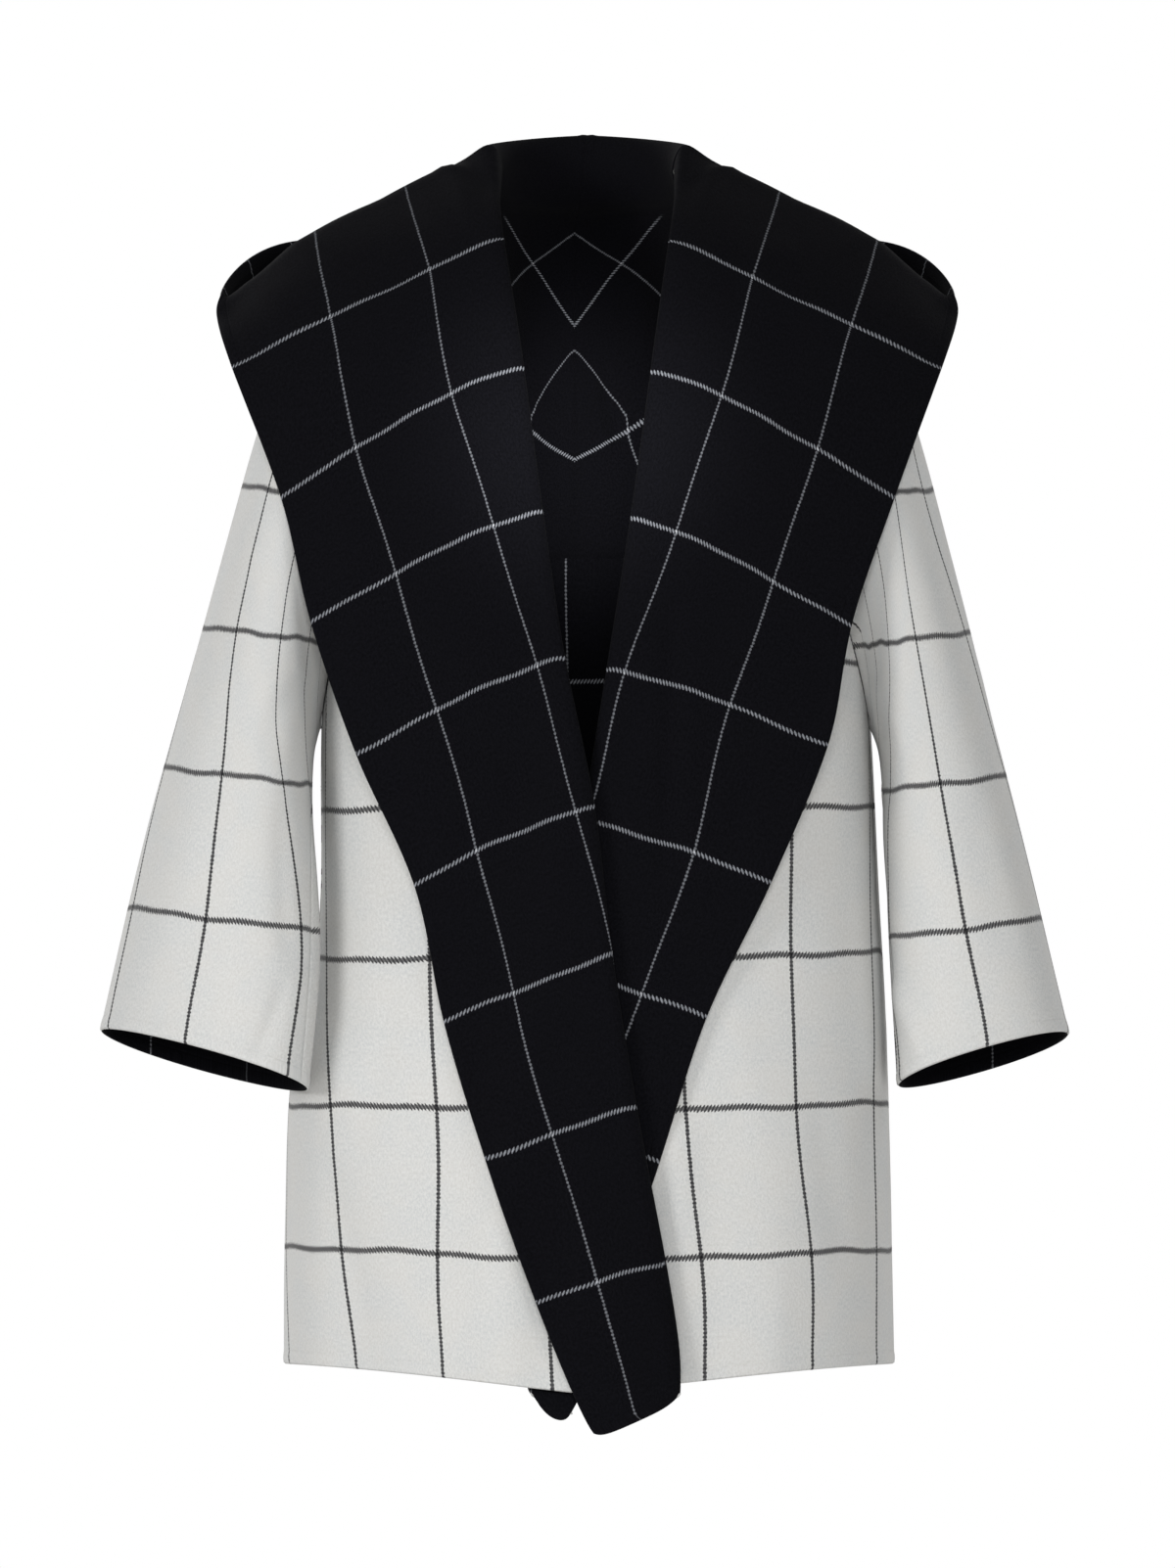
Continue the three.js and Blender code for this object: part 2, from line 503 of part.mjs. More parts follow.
// A ring of a sleeve at a position in the table; round runs from the outer point over the front.
function sleevePoint(side, at, turn) {
  const row = rowOf(SLEEVES, at);
  const low = rowOf(SLEEVE_UNDERS, at);
  const outer = vec(side * row.outX, row.outY, row.outZ);
  const under = side < 0 ? vec(-low.rightX, low.rightY, row.underZ) : vec(low.leftX, low.leftY, row.underZ);
  const centre = outer.clone().add(under).multiplyScalar(0.5);
  const long = outer.clone().sub(centre);
  const deep = vec(0, 1, 0);
  deep.addScaledVector(long, -long.y / long.lengthSq()).setLength(row.deep);
  const square = (v) => Math.sign(v) * Math.pow(Math.abs(v), 2 / SLEEVE_POWER);
  const back = square(-Math.sin(turn));
  const p = centre.addScaledVector(long, square(Math.cos(turn))).addScaledVector(deep, back);
  p.z -= row.tilt * (0.25 + 0.5 * back);
  return p;
}

function sleevePiece(side) {
  const grid = [];
  const tip = shoulderZ(bodyWidth(side, DOME_Z));
  for (let r = 0; r <= SLEEVE_ROWS; r++) {
    const at = ((SLEEVES.length - 1) * r) / SLEEVE_ROWS;
    const ring = [];
    for (let c = 0; c < SLEEVE_STEPS; c++) {
      const turn = (2 * Math.PI * c) / SLEEVE_STEPS;
      const p = sleevePoint(side, at, turn);
      const joined = 1 - smoothstep(at, 0, SLEEVE_JOIN);
      const z = lerp(UNDERARM_Z, tip, 0.5 + 0.5 * Math.cos(turn));
      const edge = armholePoint(side, Math.sin(turn) > 0 ? -1 : 1, z);
      edge.x += side * (SEAM + CLOTH);
      ring.push(p.lerp(edge, joined));
    }
    grid.push(side < 0 ? ring : ring.reverse());
  }
  return wall(grid.reverse(), true);
}

// Half of the hood, from the seam on the shoulder to the centre back.
function hoodPiece(side) {
  const sections = [];
  for (let i = 0; i <= HOOD_STEPS; i++) sections.push(through(hoodKeys(side, i / HOOD_STEPS), SECTION_STEPS));
  drawBack(sections[0], sections[1], HOOD_EASE);
  for (const p of sections[HOOD_STEPS]) p.x = side * SEAM;
  const grid = sections[0].map((_, w) => sections.map((section) => section[w]));
  return wall(side > 0 ? grid : grid.map((row) => row.reverse()));
}

const IVORY = 0xe6e4dc;
const BLACK = 0x131317;
const group = new THREE.Group();

function addPiece(name, geometry, color) {
  const material = new THREE.MeshStandardMaterial({ color, roughness: 0.95, metalness: 0 });
  const mesh = new THREE.Mesh(geometry, material);
  mesh.name = name;
  group.add(mesh);
}

addPiece("front_right", frontPiece(-1, FRONT_RIGHT), IVORY);
addPiece("front_left", frontPiece(1, FRONT_LEFT), IVORY);
addPiece("back", backPiece(), IVORY);
addPiece("sleeve_right", sleevePiece(-1), IVORY);
addPiece("sleeve_left", sleevePiece(1), IVORY);
addPiece("hood_right", hoodPiece(-1), BLACK);
addPiece("hood_left", hoodPiece(1), BLACK);

export default group;
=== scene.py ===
"""A hooded wrap coat of double-faced wool: ivory outside, black inside, a windowpane check on both faces.
The cloth is modelled as the seven pieces that are cut and sewn, each a thin wall on a grid of the cloth's
own rows and columns. Sizes are in millimetres, +Z is up, -Y the front and +X the wearer's left."""

import math

import bpy
import numpy as np
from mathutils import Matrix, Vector


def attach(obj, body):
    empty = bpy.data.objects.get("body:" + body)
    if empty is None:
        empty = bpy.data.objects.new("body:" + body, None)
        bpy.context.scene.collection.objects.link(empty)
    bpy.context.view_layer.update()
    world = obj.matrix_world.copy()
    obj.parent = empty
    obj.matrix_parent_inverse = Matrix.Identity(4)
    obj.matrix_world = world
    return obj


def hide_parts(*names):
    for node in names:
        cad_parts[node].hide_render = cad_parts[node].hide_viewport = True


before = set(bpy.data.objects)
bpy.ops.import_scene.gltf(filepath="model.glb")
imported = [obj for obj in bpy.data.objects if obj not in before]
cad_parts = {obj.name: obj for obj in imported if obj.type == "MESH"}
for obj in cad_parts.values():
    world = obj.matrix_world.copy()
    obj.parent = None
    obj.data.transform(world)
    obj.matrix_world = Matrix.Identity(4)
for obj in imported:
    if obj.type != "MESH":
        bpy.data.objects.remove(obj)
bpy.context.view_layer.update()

# Cloth and seams
MM = 0.001
CLOTH = 2.6  # thickness of the double-faced wool
SEAM_EASE = 0.25  # how far a sewn edge is drawn back from its seam
EDGE_SWELL = 0.55  # how far a turned-in edge stands out on each face
EDGE_TURN = 9.0  # width of the turned-in edge
EDGE_CREST = 0.45  # where it is thickest, as a share of that width
EDGE_ROUND = 0.42  # how far the middle of an edge stands out, in thicknesses of the cloth
FOLD_RADIUS = 4.2  # of a lapel's fold below the shoulder
ROLL_RADIUS = 8.0  # and of its softer roll on the shoulder
ROLL_REACH = 1.7  # how far back from the fold the roll reaches, in its radii
LAYER = 15.0  # how far the right front is carried out over the left one's fold
LAYER_START = 12.0  # it is wholly out this far before that fold
LAYER_REACH = 50.0  # and comes out over this distance
LAYER_TOP = 60.0  # going down from the neck it starts here
LAYER_FULL = 380.0  # and is in full from here
LAPEL_OFF = 8.0  # how far the lapels lie in front of the body
CORNER = 5.0  # how far a lapel's lower outer corner is rounded off
CORNER_POWER = 10  # the higher it is, the nearer to the corner the rounding starts
CORNER_FADE = 2  # the rounding fades over one row divided by this
FOLD_CORNER = 7.0  # how far the lower corner at the fold is rounded off
FOLD_CORNER_FADE = 6

# Check: distance between its lines along and across the cloth
CHECK_ACROSS = 84.0
CHECK_UP = 112.0
HEM_PLAIN = 6.0  # no line comes nearer than this to the one that would lie on a hem or a cuff

# Body
RIM_POWER = 2.4
HEM_Z = -857.0
HEM_CURVE = 2.6  # over 1 keeps the fronts' rows level at the side and lets them sag at the fold
DOME_Z = -200.0
NECK_X = 78.0
NECK_Z = -8.0
SHOULDER_DROP = 0.425
SCOOP_Z = -240.0
SCOOP_POWER = 6
UNDERARM_Z = -370.0
ARMHOLE_TURN = 60.0
ARMHOLE_POWER = 0.8
TIP_TURN = 86.0
BODY_ROWS = 7  # rows of a front that lie below the shoulders' dome
FOLD_GROWTH = 0.7  # share of its length over which a soft fold grows to its full depth

# The cape-like form that the lapels lie on
CAPE_HALF_WIDTH = 300.0
CAPE_POWER = 2.2
CAPE_DOME_Z = -260.0
RIDGE_Y = 10.0
RIDGE_INSIDE = 7.0
RIDGE_OUTSIDE = 34.0
RIDGE_SHARE = 0.62  # how far the ridge lies from the last row of the front to the seam
RIDGE_DOME = 79.0
RIDGE_TIP = 0.3  # how far its outer end has come from the armhole to the shoulder's tip
RIDGE_FLARE = 6.0  # how far the lapel's free edge flares on the ridge


def table(heading, *rows):
    """Rows with named columns."""
    return [dict(zip(heading.split(), row)) for row in rows]


# Level sections of the body: height, half widths on the wearer's right and left, depth of the front and back
BODY = table(
    "z right left front back",
    (-900, 232, 235, 151, 141),
    (-857, 231, 234, 150, 140),
    (-750, 230, 232, 148, 137),
    (-645, 227, 229, 145, 134),
    (-590, 212, 227, 143, 132),
    (-500, 203, 222, 140, 129),
    (-400, 203, 217, 135, 126),
    (-300, 202, 211, 130, 124),
    (-200, 203, 205, 124, 122),
)

# Rows of each front, one for each line of the check from the hem up. The last three columns place the
# check's upright lines: the distance of one on the lapel from the fold, and of two on the front from the
# coat's centre.
FRONT_RIGHT = table(
    "side_z fold_x fold_z width fall bow dome lean line front_x side_x",
    (-857, -70, -886, 71, 24, 0, 0, 0, -45, 111, 176),
    (-768, -56, -781, 99, 17, 1, 0, 0, -32, 114, 188),
    (-660, -37, -661, 121, 19, 2, 0, 0, -15, 115, 196),
    (-548, -19, -544, 138, 22, 2, 0, 0, 0, 121, 199),
    (-433, -4, -429, 149, 24.7, 5, 0, 0, 15, 122, 200),
    (-316, 19, -313, 175, 26, 3, 0, 0, 23, 122, 200),
    (-203, 35, -201, 197, 26.6, 6, 0, 0, 41, 121, 200),
    (-200, 50, -91, 211, 29.5, 9, 38, 0.08, 60, 120, 200),
    (-200, 66, 5, 228, 25.8, 2, 64, 0.35, 62.5, 119, 200),
)
FRONT_LEFT = table(
    "side_z fold_x fold_z width fall bow dome lean line front_x side_x",
    (-857, -44, -882, 36, 30, -6, 0, 0, -80, 172, 221),
    (-770, -50, -782, 73, 19, 1, 0, 0, -63, 170, 220),
    (-658, -35, -667, 96, 21.7, 1, 0, 0, -46, 159, 218),
    (-542, -17, -553, 114, 20, 1, 0, 0, -20, 156, 217),
    (-430, -2, -439, 150, 19.5, 2, 0, 0, 4, 155, 216),
    (-320, 16, -322, 178, 20.2, 3, 0, 0, 15.5, 154, 215),
    (-203, 34, -206, 188, 27.4, 5, 0, 0, 38, 153, 215),
    (-200, 50, -94, 210, 28.8, 8, 38, 0.08, 58, 152, 215),
    (-200, 64, 4, 229, 25.6, 0, 64, 0.35, 71.5, 151, 215),
)

RIDGE = table(
    "x z",
    (60, 79),
    (76, 77),
    (97, 65),
    (112, 52.5),
    (150, 33),
    (214, 4.5),
    (255, -29),
    (284, -55),
    (300, -70),
)

# Rails of a hood half, from the neck seam to the free rim
HOOD = table(
    "side_x side_y side_z back_y back_z lift",
    (77.5, 4, 12, 113, -110, 0),  # neck wall
    (77, 8, 26, 106, 16, 0),  # under the band
    (71, 11, 42, 85, 36, 0),  # band foot
    (67, 15, 60, 79, 58, 0),  # band
    (74, 19, 76, 92, 84, 0),  # roll
    (96, 24, 64, 116, 68, 0),  # behind the roll
    (152, 28, 34, 134, 20, 0),  # shoulder
    (214, 30, 3, 144, -50, -6),  # outer shoulder
    (247, 31, -26, 148, -138, -12),  # bag inside
    (263, 31, -42, 161, -202, -16),  # bag floor
    (271, 30, -46, 180, -196, -6),  # bag turn
    (277, 28, -43, 193, -126, 20),  # bag outside
    (281, 26, -38, 181, -58, 52),  # rim
)
UNDER_BAND = 2  # places among a section's key points, after the seam
ROLL_KEY = 5
LAST_KEY = len(HOOD)
LIFT_POWER = 1.4  # over 1 makes a rail's lift start slowly at the side and the centre

# Rings of the sleeves, from the armhole to the cuff
SLEEVES = table(
    "out_x out_y out_z right_x right_y left_x left_y under_z deep tilt",
    (211, 0, -63, 206, 0, 219, 0, -371, 72, 0),
    (236, 0, -98, 208, -12, 222, -6, -378, 77, 0),
    (257, 0, -160, 211, -32, 226, -12, -394, 76, 0),
    (284, -2, -265, 213, -60, 229, -22, -430, 71, 0),
    (311, -6, -380, 213, -86, 232, -34, -484, 64, 2),
    (340, -10, -495, 214, -104, 235, -42, -552, 57, 8),
    (367, -16, -602, 221, -116, 239, -50, -636, 52, 19),
)
SLEEVE_POWER = 2.1
SLEEVE_JOIN = 1.2  # rings over which a sleeve eases into its armhole
SLEEVE_FRONT = 0.12  # turn at which a sleeve's front starts

# Where an upright line of the check runs down the front of each sleeve
SLEEVE_LINE = table(
    "z right left",
    (-610, 307, 306),
    (-508, 290, 286),
    (-397, 279, 268),
    (-290, 268, 249),
    (-187, 244, 234),
    (-90, 215, 215),
)
# The sleeves' check across: the way down the sleeve, where it starts and how far apart its lines are
SLEEVE_LEAN = 7.0
SLEEVE_ROUND = 1.12  # length of the sleeve's back for each millimetre across it
SLEEVE_CHECK = {-1: (216.0, 110.5), 1: (218.0, 112.5)}

BACK_LINE = 16.0  # an upright line of the back lies this far to the wearer's right of the centre
BACK_SAG = 16.0  # how much lower the back's lines across hang at the centre than at the side seams
BACK_HALF_WIDTH = 215.0

# The hood is cut on the bias. Height above the scoop where a line crosses the centre seam, and distance to
# the next one, for the lines across the cloth, which rise from the seam, and for the upright ones, which fall
# from it. Their rise for each millimetre from the seam changes with the height.
HOOD_RISING = (178.0, 103.0)
HOOD_FALLING = (251.0, 91.0)
HOOD_RISE = table(
    "height rising falling",
    (63, 0.55, -1.42),
    (94, 0.6, -1.44),
    (137, 0.9, -1.15),
    (178, 1.4, -0.92),
    (227, 1.4, -0.69),
)
HOOD_LOW = 110.0  # below this height the falling lines lie far apart
HOOD_SPREAD = 0.3
BAG_SHIFT = (39.0, 36.0)
SCOOP_FLAT = 42.0  # half width of the level part of the scoop
SEAM_SHIFT = 10.0  # how far the hood's centre seam has slipped to the wearer's right
SEAM_RIDGE = 0.7  # height of the felled seams inside the neck
RIDGE_SHRINK = 0.8  # how much nearer together the lines across are over the shoulder
OUTER_SHRINK = 0.78  # how much nearer the upright lines are outside a lapel's second one
INNER_SHRINK = 0.95  # and between the centre of a front and its first one
# How far a lapel's two upright lines lean out over the shoulder
TOP_LEAN = {-1: (0.278, 0.177), 1: (0.3, 0.294)}
TOP_WIDEST = 74.0  # no line shows between the fold and the first of them
FOLD_DROP = 3.6  # how far the lines across sink at the upper part of the fold, and over which distance
FOLD_DROP_REACH = 9.0
FOLD_PLAIN = 40.0  # width without lines just inside the fold, where a front goes over to the hood
HOOD_SHRINK = 0.74  # how much nearer together the hood's lines look inside the neck than behind
HOOD_BEND = 300.0  # height above the scoop at which the hood turns over behind the neck
HOOD_BEND_LENGTH = 60.0

# Soft folds of the body below the chest
FOLDS = table(
    "face x0 z0 x1 z1 half deep",
    (-1, -36, -640, -30, -880, 24, -5),
    (-1, -206, -640, -172, -880, 26, -6),
    (-1, -110, -600, -104, -880, 34, 4),
    (-1, 72, -620, 66, -880, 22, -5),
    (-1, 150, -560, 140, -880, 36, 5),
    (1, -120, -420, -142, -880, 34, 8),
    (1, -30, -520, -26, -880, 30, -7),
    (1, 70, -460, 92, -880, 32, 7),
    (1, 158, -560, 170, -880, 28, -6),
)

# Small creases, as soft troughs (deep under 0) and ridges, in each piece's own sizes: x and z in the frame
FRONT_CREASES = table(
    "x0 z0 x1 z1 half deep",
    (-196, -700, -170, -850, 9, -1.8),
    (-150, -560, -172, -700, 10, -1.2),
    (-46, -640, -26, -870, 16, -5.0),
    (-118, -790, -96, -870, 9, 1.2),
    (-222, -560, -214, -640, 7, -1.5),
    (74, -660, 68, -880, 15, -8.0),
    (112, -560, 128, -700, 11, -1.0),
    (180, -640, 196, -800, 12, 1.6),
    (206, -480, 214, -640, 6, -1.4),
    (140, -780, 150, -870, 9, -1.1),
)
LAPEL_CREASES = table(
    "x0 z0 x1 z1 half deep",
    (-232, -60, -120, -6, 14, 1.6),
    (-255, -140, -160, -70, 16, -1.4),
    (-90, -60, -130, -190, 12, 1.3),
    (-170, -250, -90, -330, 14, -1.2),
    (-70, -360, -46, -470, 10, 1.2),
    (-92, -560, -40, -640, 12, -1.2),
    (-30, -700, -10, -820, 9, 1.2),
    (63, -262, 58, -500, 9, -3.4),
    (84, -250, 76, -480, 12, 1.8),
    (120, -20, 160, 0, 12, 1.5),
    (180, -120, 244, -90, 16, -1.4),
    (150, -230, 200, -330, 14, 1.3),
    (120, -400, 96, -520, 12, -1.2),
)
BACK_CREASES = table(
    "x0 z0 x1 z1 half deep",
    (-150, -330, -196, -260, 12, -2.2),
    (-168, -370, -206, -320, 10, 1.6),
    (146, -340, 190, -262, 12, -2.2),
    (160, -392, 204, -330, 11, 1.6),
    (-70, -560, -60, -850, 12, -2.0),
    (28, -480, 34, -700, 14, -1.6),
    (120, -600, 132, -850, 12, -2.0),
    (-190, -620, -204, -850, 10, -1.8),
)
SLEEVE_CREASES = table(
    "x0 z0 x1 z1 half deep face",
    (236, -420, 226, -560, 8, -2.0, -1),
    (232, -560, 258, -632, 7, -2.6, -1),
    (224, -330, 246, -392, 9, -1.8, -1),
    (300, -420, 316, -560, 16, 1.4, -1),
    (262, -240, 276, -340, 14, -1.2, -1),
    (226, -340, 262, -402, 9, -2.4, 1),
    (230, -410, 280, -470, 10, -2.0, 1),
    (300, -300, 318, -440, 14, -1.8, 1),
    (250, -500, 262, -600, 10, -1.6, 1),
)
HOOD_CREASES = table(
    "x0 z0 x1 z1 half deep",
    (4, -96, 14, -166, 6, 3.4),
    (16, -92, 26, -150, 6, -3.0),
    (-8, -80, 2, -120, 7, -2.4),
    (-44, -40, -58, -110, 9, 2.0),
    (40, -30, 52, -120, 9, 2.2),
    (-22, -170, -12, -232, 7, -1.6),
    (20, -180, 12, -234, 7, 1.4),
)
BAG_CREASES = table(
    "x0 z0 x1 z1 half deep",
    (-150, -40, -90, -150, 14, -3.0),
    (-60, -60, -40, -180, 12, 2.4),
    (46, -50, 30, -170, 12, 2.6),
    (140, -30, 92, -150, 14, -3.0),
    (200, -10, 160, -90, 12, -2.0),
    (-206, -10, -170, -90, 12, -2.0),
)


def between(a, b, c, d, t):
    """A smooth value between four neighbours, t of the way from the second to the third."""
    bend = 2 * a - 5 * b + 4 * c - d
    twist = 3 * (b - c) + d - a
    return 0.5 * (2 * b + (c - a) * t + bend * t * t + twist * t * t * t)


def clamp(value, low, high):
    return min(max(value, low), high)


def lerp(a, b, t):
    return a + (b - a) * t


def smoothstep(value, low, high):
    t = clamp((value - low) / (high - low), 0.0, 1.0)
    return t * t * (3 - 2 * t)


def column(rows, key, at):
    """One column of a table at a position counted in rows."""
    last = len(rows) - 1
    i = clamp(math.floor(at), 0, last - 1)
    a, b, c, d = (rows[clamp(k, 0, last)][key] for k in (i - 1, i, i + 1, i + 2))
    return between(a, b, c, d, clamp(at - i, 0.0, 1.0))


def row_of(rows, at):
    return {key: column(rows, key, at) for key in rows[0]}


def row_where(rows, key, value):
    """The position, in rows, where a rising column passes a value."""
    i = 0
    while i < len(rows) - 2 and rows[i + 1][key] < value:
        i += 1
    return i + clamp((value - rows[i][key]) / (rows[i + 1][key] - rows[i][key]), 0.0, 1.0)


def body_width(side, z):
    return column(BODY, "right" if side < 0 else "left", row_where(BODY, "z", z))


def body_depth(face, z):
    return column(BODY, "front" if face < 0 else "back", row_where(BODY, "z", z))


def shoulder_z(x):
    return NECK_Z - max(0.0, abs(x) - NECK_X) * SHOULDER_DROP


def ridge_z(x):
    return column(RIDGE, "z", row_where(RIDGE, "x", clamp(x, 60, 300)))


def folds_at(face, x, z):
    """How far the soft folds carry the cloth out at a point of the front (-1) or back (1)."""
    out = 0.0
    for fold in FOLDS:
        if fold["face"] == face:
            along = (z - fold["z0"]) / (fold["z1"] - fold["z0"])
            away = (x - lerp(fold["x0"], fold["x1"], along)) / fold["half"]
            out += fold["deep"] * smoothstep(along, 0, FOLD_GROWTH) * math.exp(-away * away)
    return out


def body_point(side, face, turn, height, dome):
    """A point of the body: turn in degrees from the centre to the side, a height, and the dome above it."""
    z = DOME_Z if dome > 0 else height
    way = -side if turn < 0 else side
    x = way * body_width(way, z) * abs(math.sin(math.radians(turn))) ** (2 / RIM_POWER)
    deep = body_depth(face, z) * max(0.0, math.cos(math.radians(turn))) ** (2 / RIM_POWER)
    y = face * (deep * math.cos(math.radians(dome)) + folds_at(face, x, z))
    return np.array((x, y, lerp(z, shoulder_z(x), math.sin(math.radians(dome))) if dome > 0 else z))


def turn_to(side, x, z):
    """The turn that brings a body point to x, counted outwards on that side."""
    way = -1 if x < 0 else 1
    share = clamp(abs(x) / body_width(side * way, min(z, DOME_Z)), 0.0, 1.0)
    return way * math.degrees(math.asin(share ** (RIM_POWER / 2)))


def dome_to(x, z):
    if z <= DOME_Z:
        return 0.0
    return math.degrees(math.asin(clamp((z - DOME_Z) / (shoulder_z(x) - DOME_Z), 0.0, 1.0)))


def panel_edge(height, dome):
    """How far round the body a panel reaches: to the side seam, and above it to the armhole."""
    up = clamp((height - UNDERARM_Z) / (DOME_Z - UNDERARM_Z), 0.0, 1.0)
    deepest = lerp(90.0, ARMHOLE_TURN, math.sin(math.pi / 2 * up) ** ARMHOLE_POWER)
    return lerp(deepest, TIP_TURN, (dome / 90) ** 2)


def lapel_y(x, z):
    """Where a lapel lies from front to back: on a form that leans back to the ridge."""
    level = min(z, DOME_Z)
    share = min(1.0, abs(x) / CAPE_HALF_WIDTH)
    around = max(0.0, 1 - share**CAPE_POWER) ** (1 / CAPE_POWER)
    deep = (body_depth(-1, level) + LAPEL_OFF) * around + folds_at(-1, x, level)
    up = clamp((z - CAPE_DOME_Z) / (ridge_z(abs(x)) - CAPE_DOME_Z), 0.0, 1.0)
    return RIDGE_Y - (RIDGE_Y + deep) * math.sqrt(1 - up * up)


def carried_out(x, z):
    """How far the right front is carried out over the left front's fold."""
    under = column(FRONT_LEFT, "fold_x", row_where(FRONT_LEFT, "fold_z", z))
    out = under - LAYER_START
    return LAYER * smoothstep(x, out - LAYER_REACH, out) * smoothstep(-z, LAYER_TOP, LAYER_FULL)


def on_curve(keys, at):
    """A point of a centripetal curve through key points, at a place counted in keys."""
    i = clamp(math.floor(at), 0, len(keys) - 2)
    t = at - i
    before = keys[i - 1] if i > 0 else 2 * keys[0] - keys[1]
    after = keys[i + 2] if i + 2 < len(keys) else 2 * keys[-1] - keys[-2]
    a, b, c, d = before, keys[i], keys[i + 1], after
    ab, bc, cd = (max(math.sqrt(np.linalg.norm(q - p)), 1e-4) for p, q in ((a, b), (b, c), (c, d)))
    start = ((b - a) / ab - (c - a) / (ab + bc) + (c - b) / bc) * bc
    end = ((c - b) / bc - (d - b) / (bc + cd) + (d - c) / cd) * bc
    bend = -3 * b + 3 * c - 2 * start - end
    twist = 2 * b - 2 * c + start + end
    return b + start * t + bend * t * t + twist * t**3


def through(keys, places):
    return [on_curve(keys, at) for at in places]


def scoop_point(side, s, inset):
    """The hood's neck seam, on the scoop of the back: s is 0 at the neck point and 1 at the centre back."""
    share = max(0.0, math.cos(math.pi / 2 * s)) ** (1 / 3)
    x = NECK_X * share
    z = lerp(SCOOP_Z, NECK_Z, share**SCOOP_POWER)
    slope = (NECK_Z - SCOOP_Z) * SCOOP_POWER * share ** (SCOOP_POWER - 1) / NECK_X
    across = inset / math.hypot(1, slope)
    x, z = x - across * slope, z + across
    y = body_point(side, 1, turn_to(side, x, z), z, dome_to(x, z))[1]
    return np.array((side * max(0.0, x), y, z))


def hood_keys(side, s):
    """One section of the hood at s, from the neck seam to the rim, as key points."""
    turn = math.pi / 2 * s
    down = (s + smoothstep(s, 0, 1)) / 2
    keys = [scoop_point(side, s, SEAM_EASE)]
    for rail in HOOD:
        lift = rail["lift"] * max(0.0, math.sin(2 * turn)) ** LIFT_POWER
        z = lerp(rail["side_z"], rail["back_z"], down) + lift
        x = side * rail["side_x"] * math.cos(turn)
        keys.append(np.array((x, lerp(rail["side_y"], rail["back_y"], math.sin(turn)), z)))
    return keys


def spaced(start, end, count):
    return [lerp(start, end, k / count) for k in range(1, count + 1)]


def towards(start, end, count, fine):
    """Steps that grow finer towards the end, so that an edge can be rounded."""
    return [lerp(start, end, 1 - (1 - k / count) ** fine) for k in range(1, count + 1)]


# Steps of the fine grids. The section's places serve the lapels' seam and the hood alike.
PANEL_STEPS = 42
STAND_STEPS = 8
ROLL_STEPS = 7
LAPEL_STEPS = 64
HOOD_STEPS = 60
SHOULDER_STEPS = 18
BACK_COLUMNS = 46
LAPEL_PLACES = towards(0, 1, LAPEL_STEPS, 1.35)
LAPEL_KEY = 4  # the place on the lapel that the fold's roll curves towards


def section_places():
    last = [lerp(ROLL_KEY + 1, LAST_KEY, t) for t in LAPEL_PLACES]
    return [
        0.0,
        *spaced(0, ROLL_KEY - 1, STAND_STEPS),
        *spaced(ROLL_KEY - 1, ROLL_KEY, ROLL_STEPS),
        *spaced(ROLL_KEY, ROLL_KEY + 1, ROLL_STEPS),
        *last,
    ]


def front_row(side, rows, at):
    """One row of a front: the front from its side edge, the roll of the fold, and the lapel."""
    row = row_of(rows, at)

    def lift(x, z):
        return carried_out(side * x, z) if side < 0 else 0.0

    fold_x, fold_z = row["fold_x"], row["fold_z"]
    rounded = FOLD_CORNER * max(0.0, 1 - FOLD_CORNER_FADE * at) ** 2
    fold = np.array((side * fold_x, 0.0, fold_z + rounded))
    fold[1] = lapel_y(fold[0], fold_z) + FOLD_RADIUS - lift(fold_x, fold_z)
    apex = np.array((-side * (1 - row["lean"]), 0.0, row["lean"]))
    apex /= np.linalg.norm(apex)
    out = np.array((side * row["lean"], -(1 - row["lean"]), 0.0))
    out /= np.linalg.norm(out)
    radius = lerp(FOLD_RADIUS, ROLL_RADIUS, row["lean"])
    edge = panel_edge(row["side_z"], row["dome"])
    leave = turn_to(side, lerp(fold_x + 4 * FOLD_RADIUS, NECK_X, row["lean"]), fold_z)
    panel = []
    for i in range(PANEL_STEPS + 1):
        t = i / PANEL_STEPS
        height = lerp(row["side_z"], fold_z, t**HEM_CURVE)
        p = body_point(side, -1, lerp(edge, leave, t), height, row["dome"])
        p[1] -= lift(side * p[0], p[2])
        panel.append(p)
    angle = math.radians(row["fall"])
    lapel = []
    first = ROLL_REACH * radius / row["width"]
    for part in [0.0] + LAPEL_PLACES:
        t = lerp(first, 1.0, part)
        corner = CORNER * t**CORNER_POWER * max(0.0, 1 - CORNER_FADE * at) ** 2
        x = fold_x + row["width"] * t * math.cos(angle)
        corner += rounded * math.exp(-row["width"] * t / FOLD_CORNER)
        z = fold_z - row["width"] * t * math.sin(angle) + row["bow"] * math.sin(math.pi * t) + corner
        lapel.append(np.array((side * x, lapel_y(side * x, z) - lift(x, z), z)))
    behind = fold - (apex * ROLL_REACH + out) * radius
    keys = [panel[-1], behind, fold, lapel[0], lapel[LAPEL_KEY]]
    places = spaced(0, 1, STAND_STEPS) + spaced(1, 2, ROLL_STEPS) + spaced(2, 3, ROLL_STEPS)
    roll = through(keys, [0.0] + places)
    return panel[:-1] + roll + lapel[1:]


def seam_row(side):
    """The last row of a front: the shoulder seam, and then the seam to the hood."""
    neck = turn_to(side, NECK_X, DOME_Z)
    turns = [lerp(TIP_TURN, neck, i / PANEL_STEPS) for i in range(PANEL_STEPS)]
    shoulder = [body_point(side, -1, turn, DOME_Z, 90) for turn in turns]
    return shoulder + through(hood_keys(side, 0), section_places())


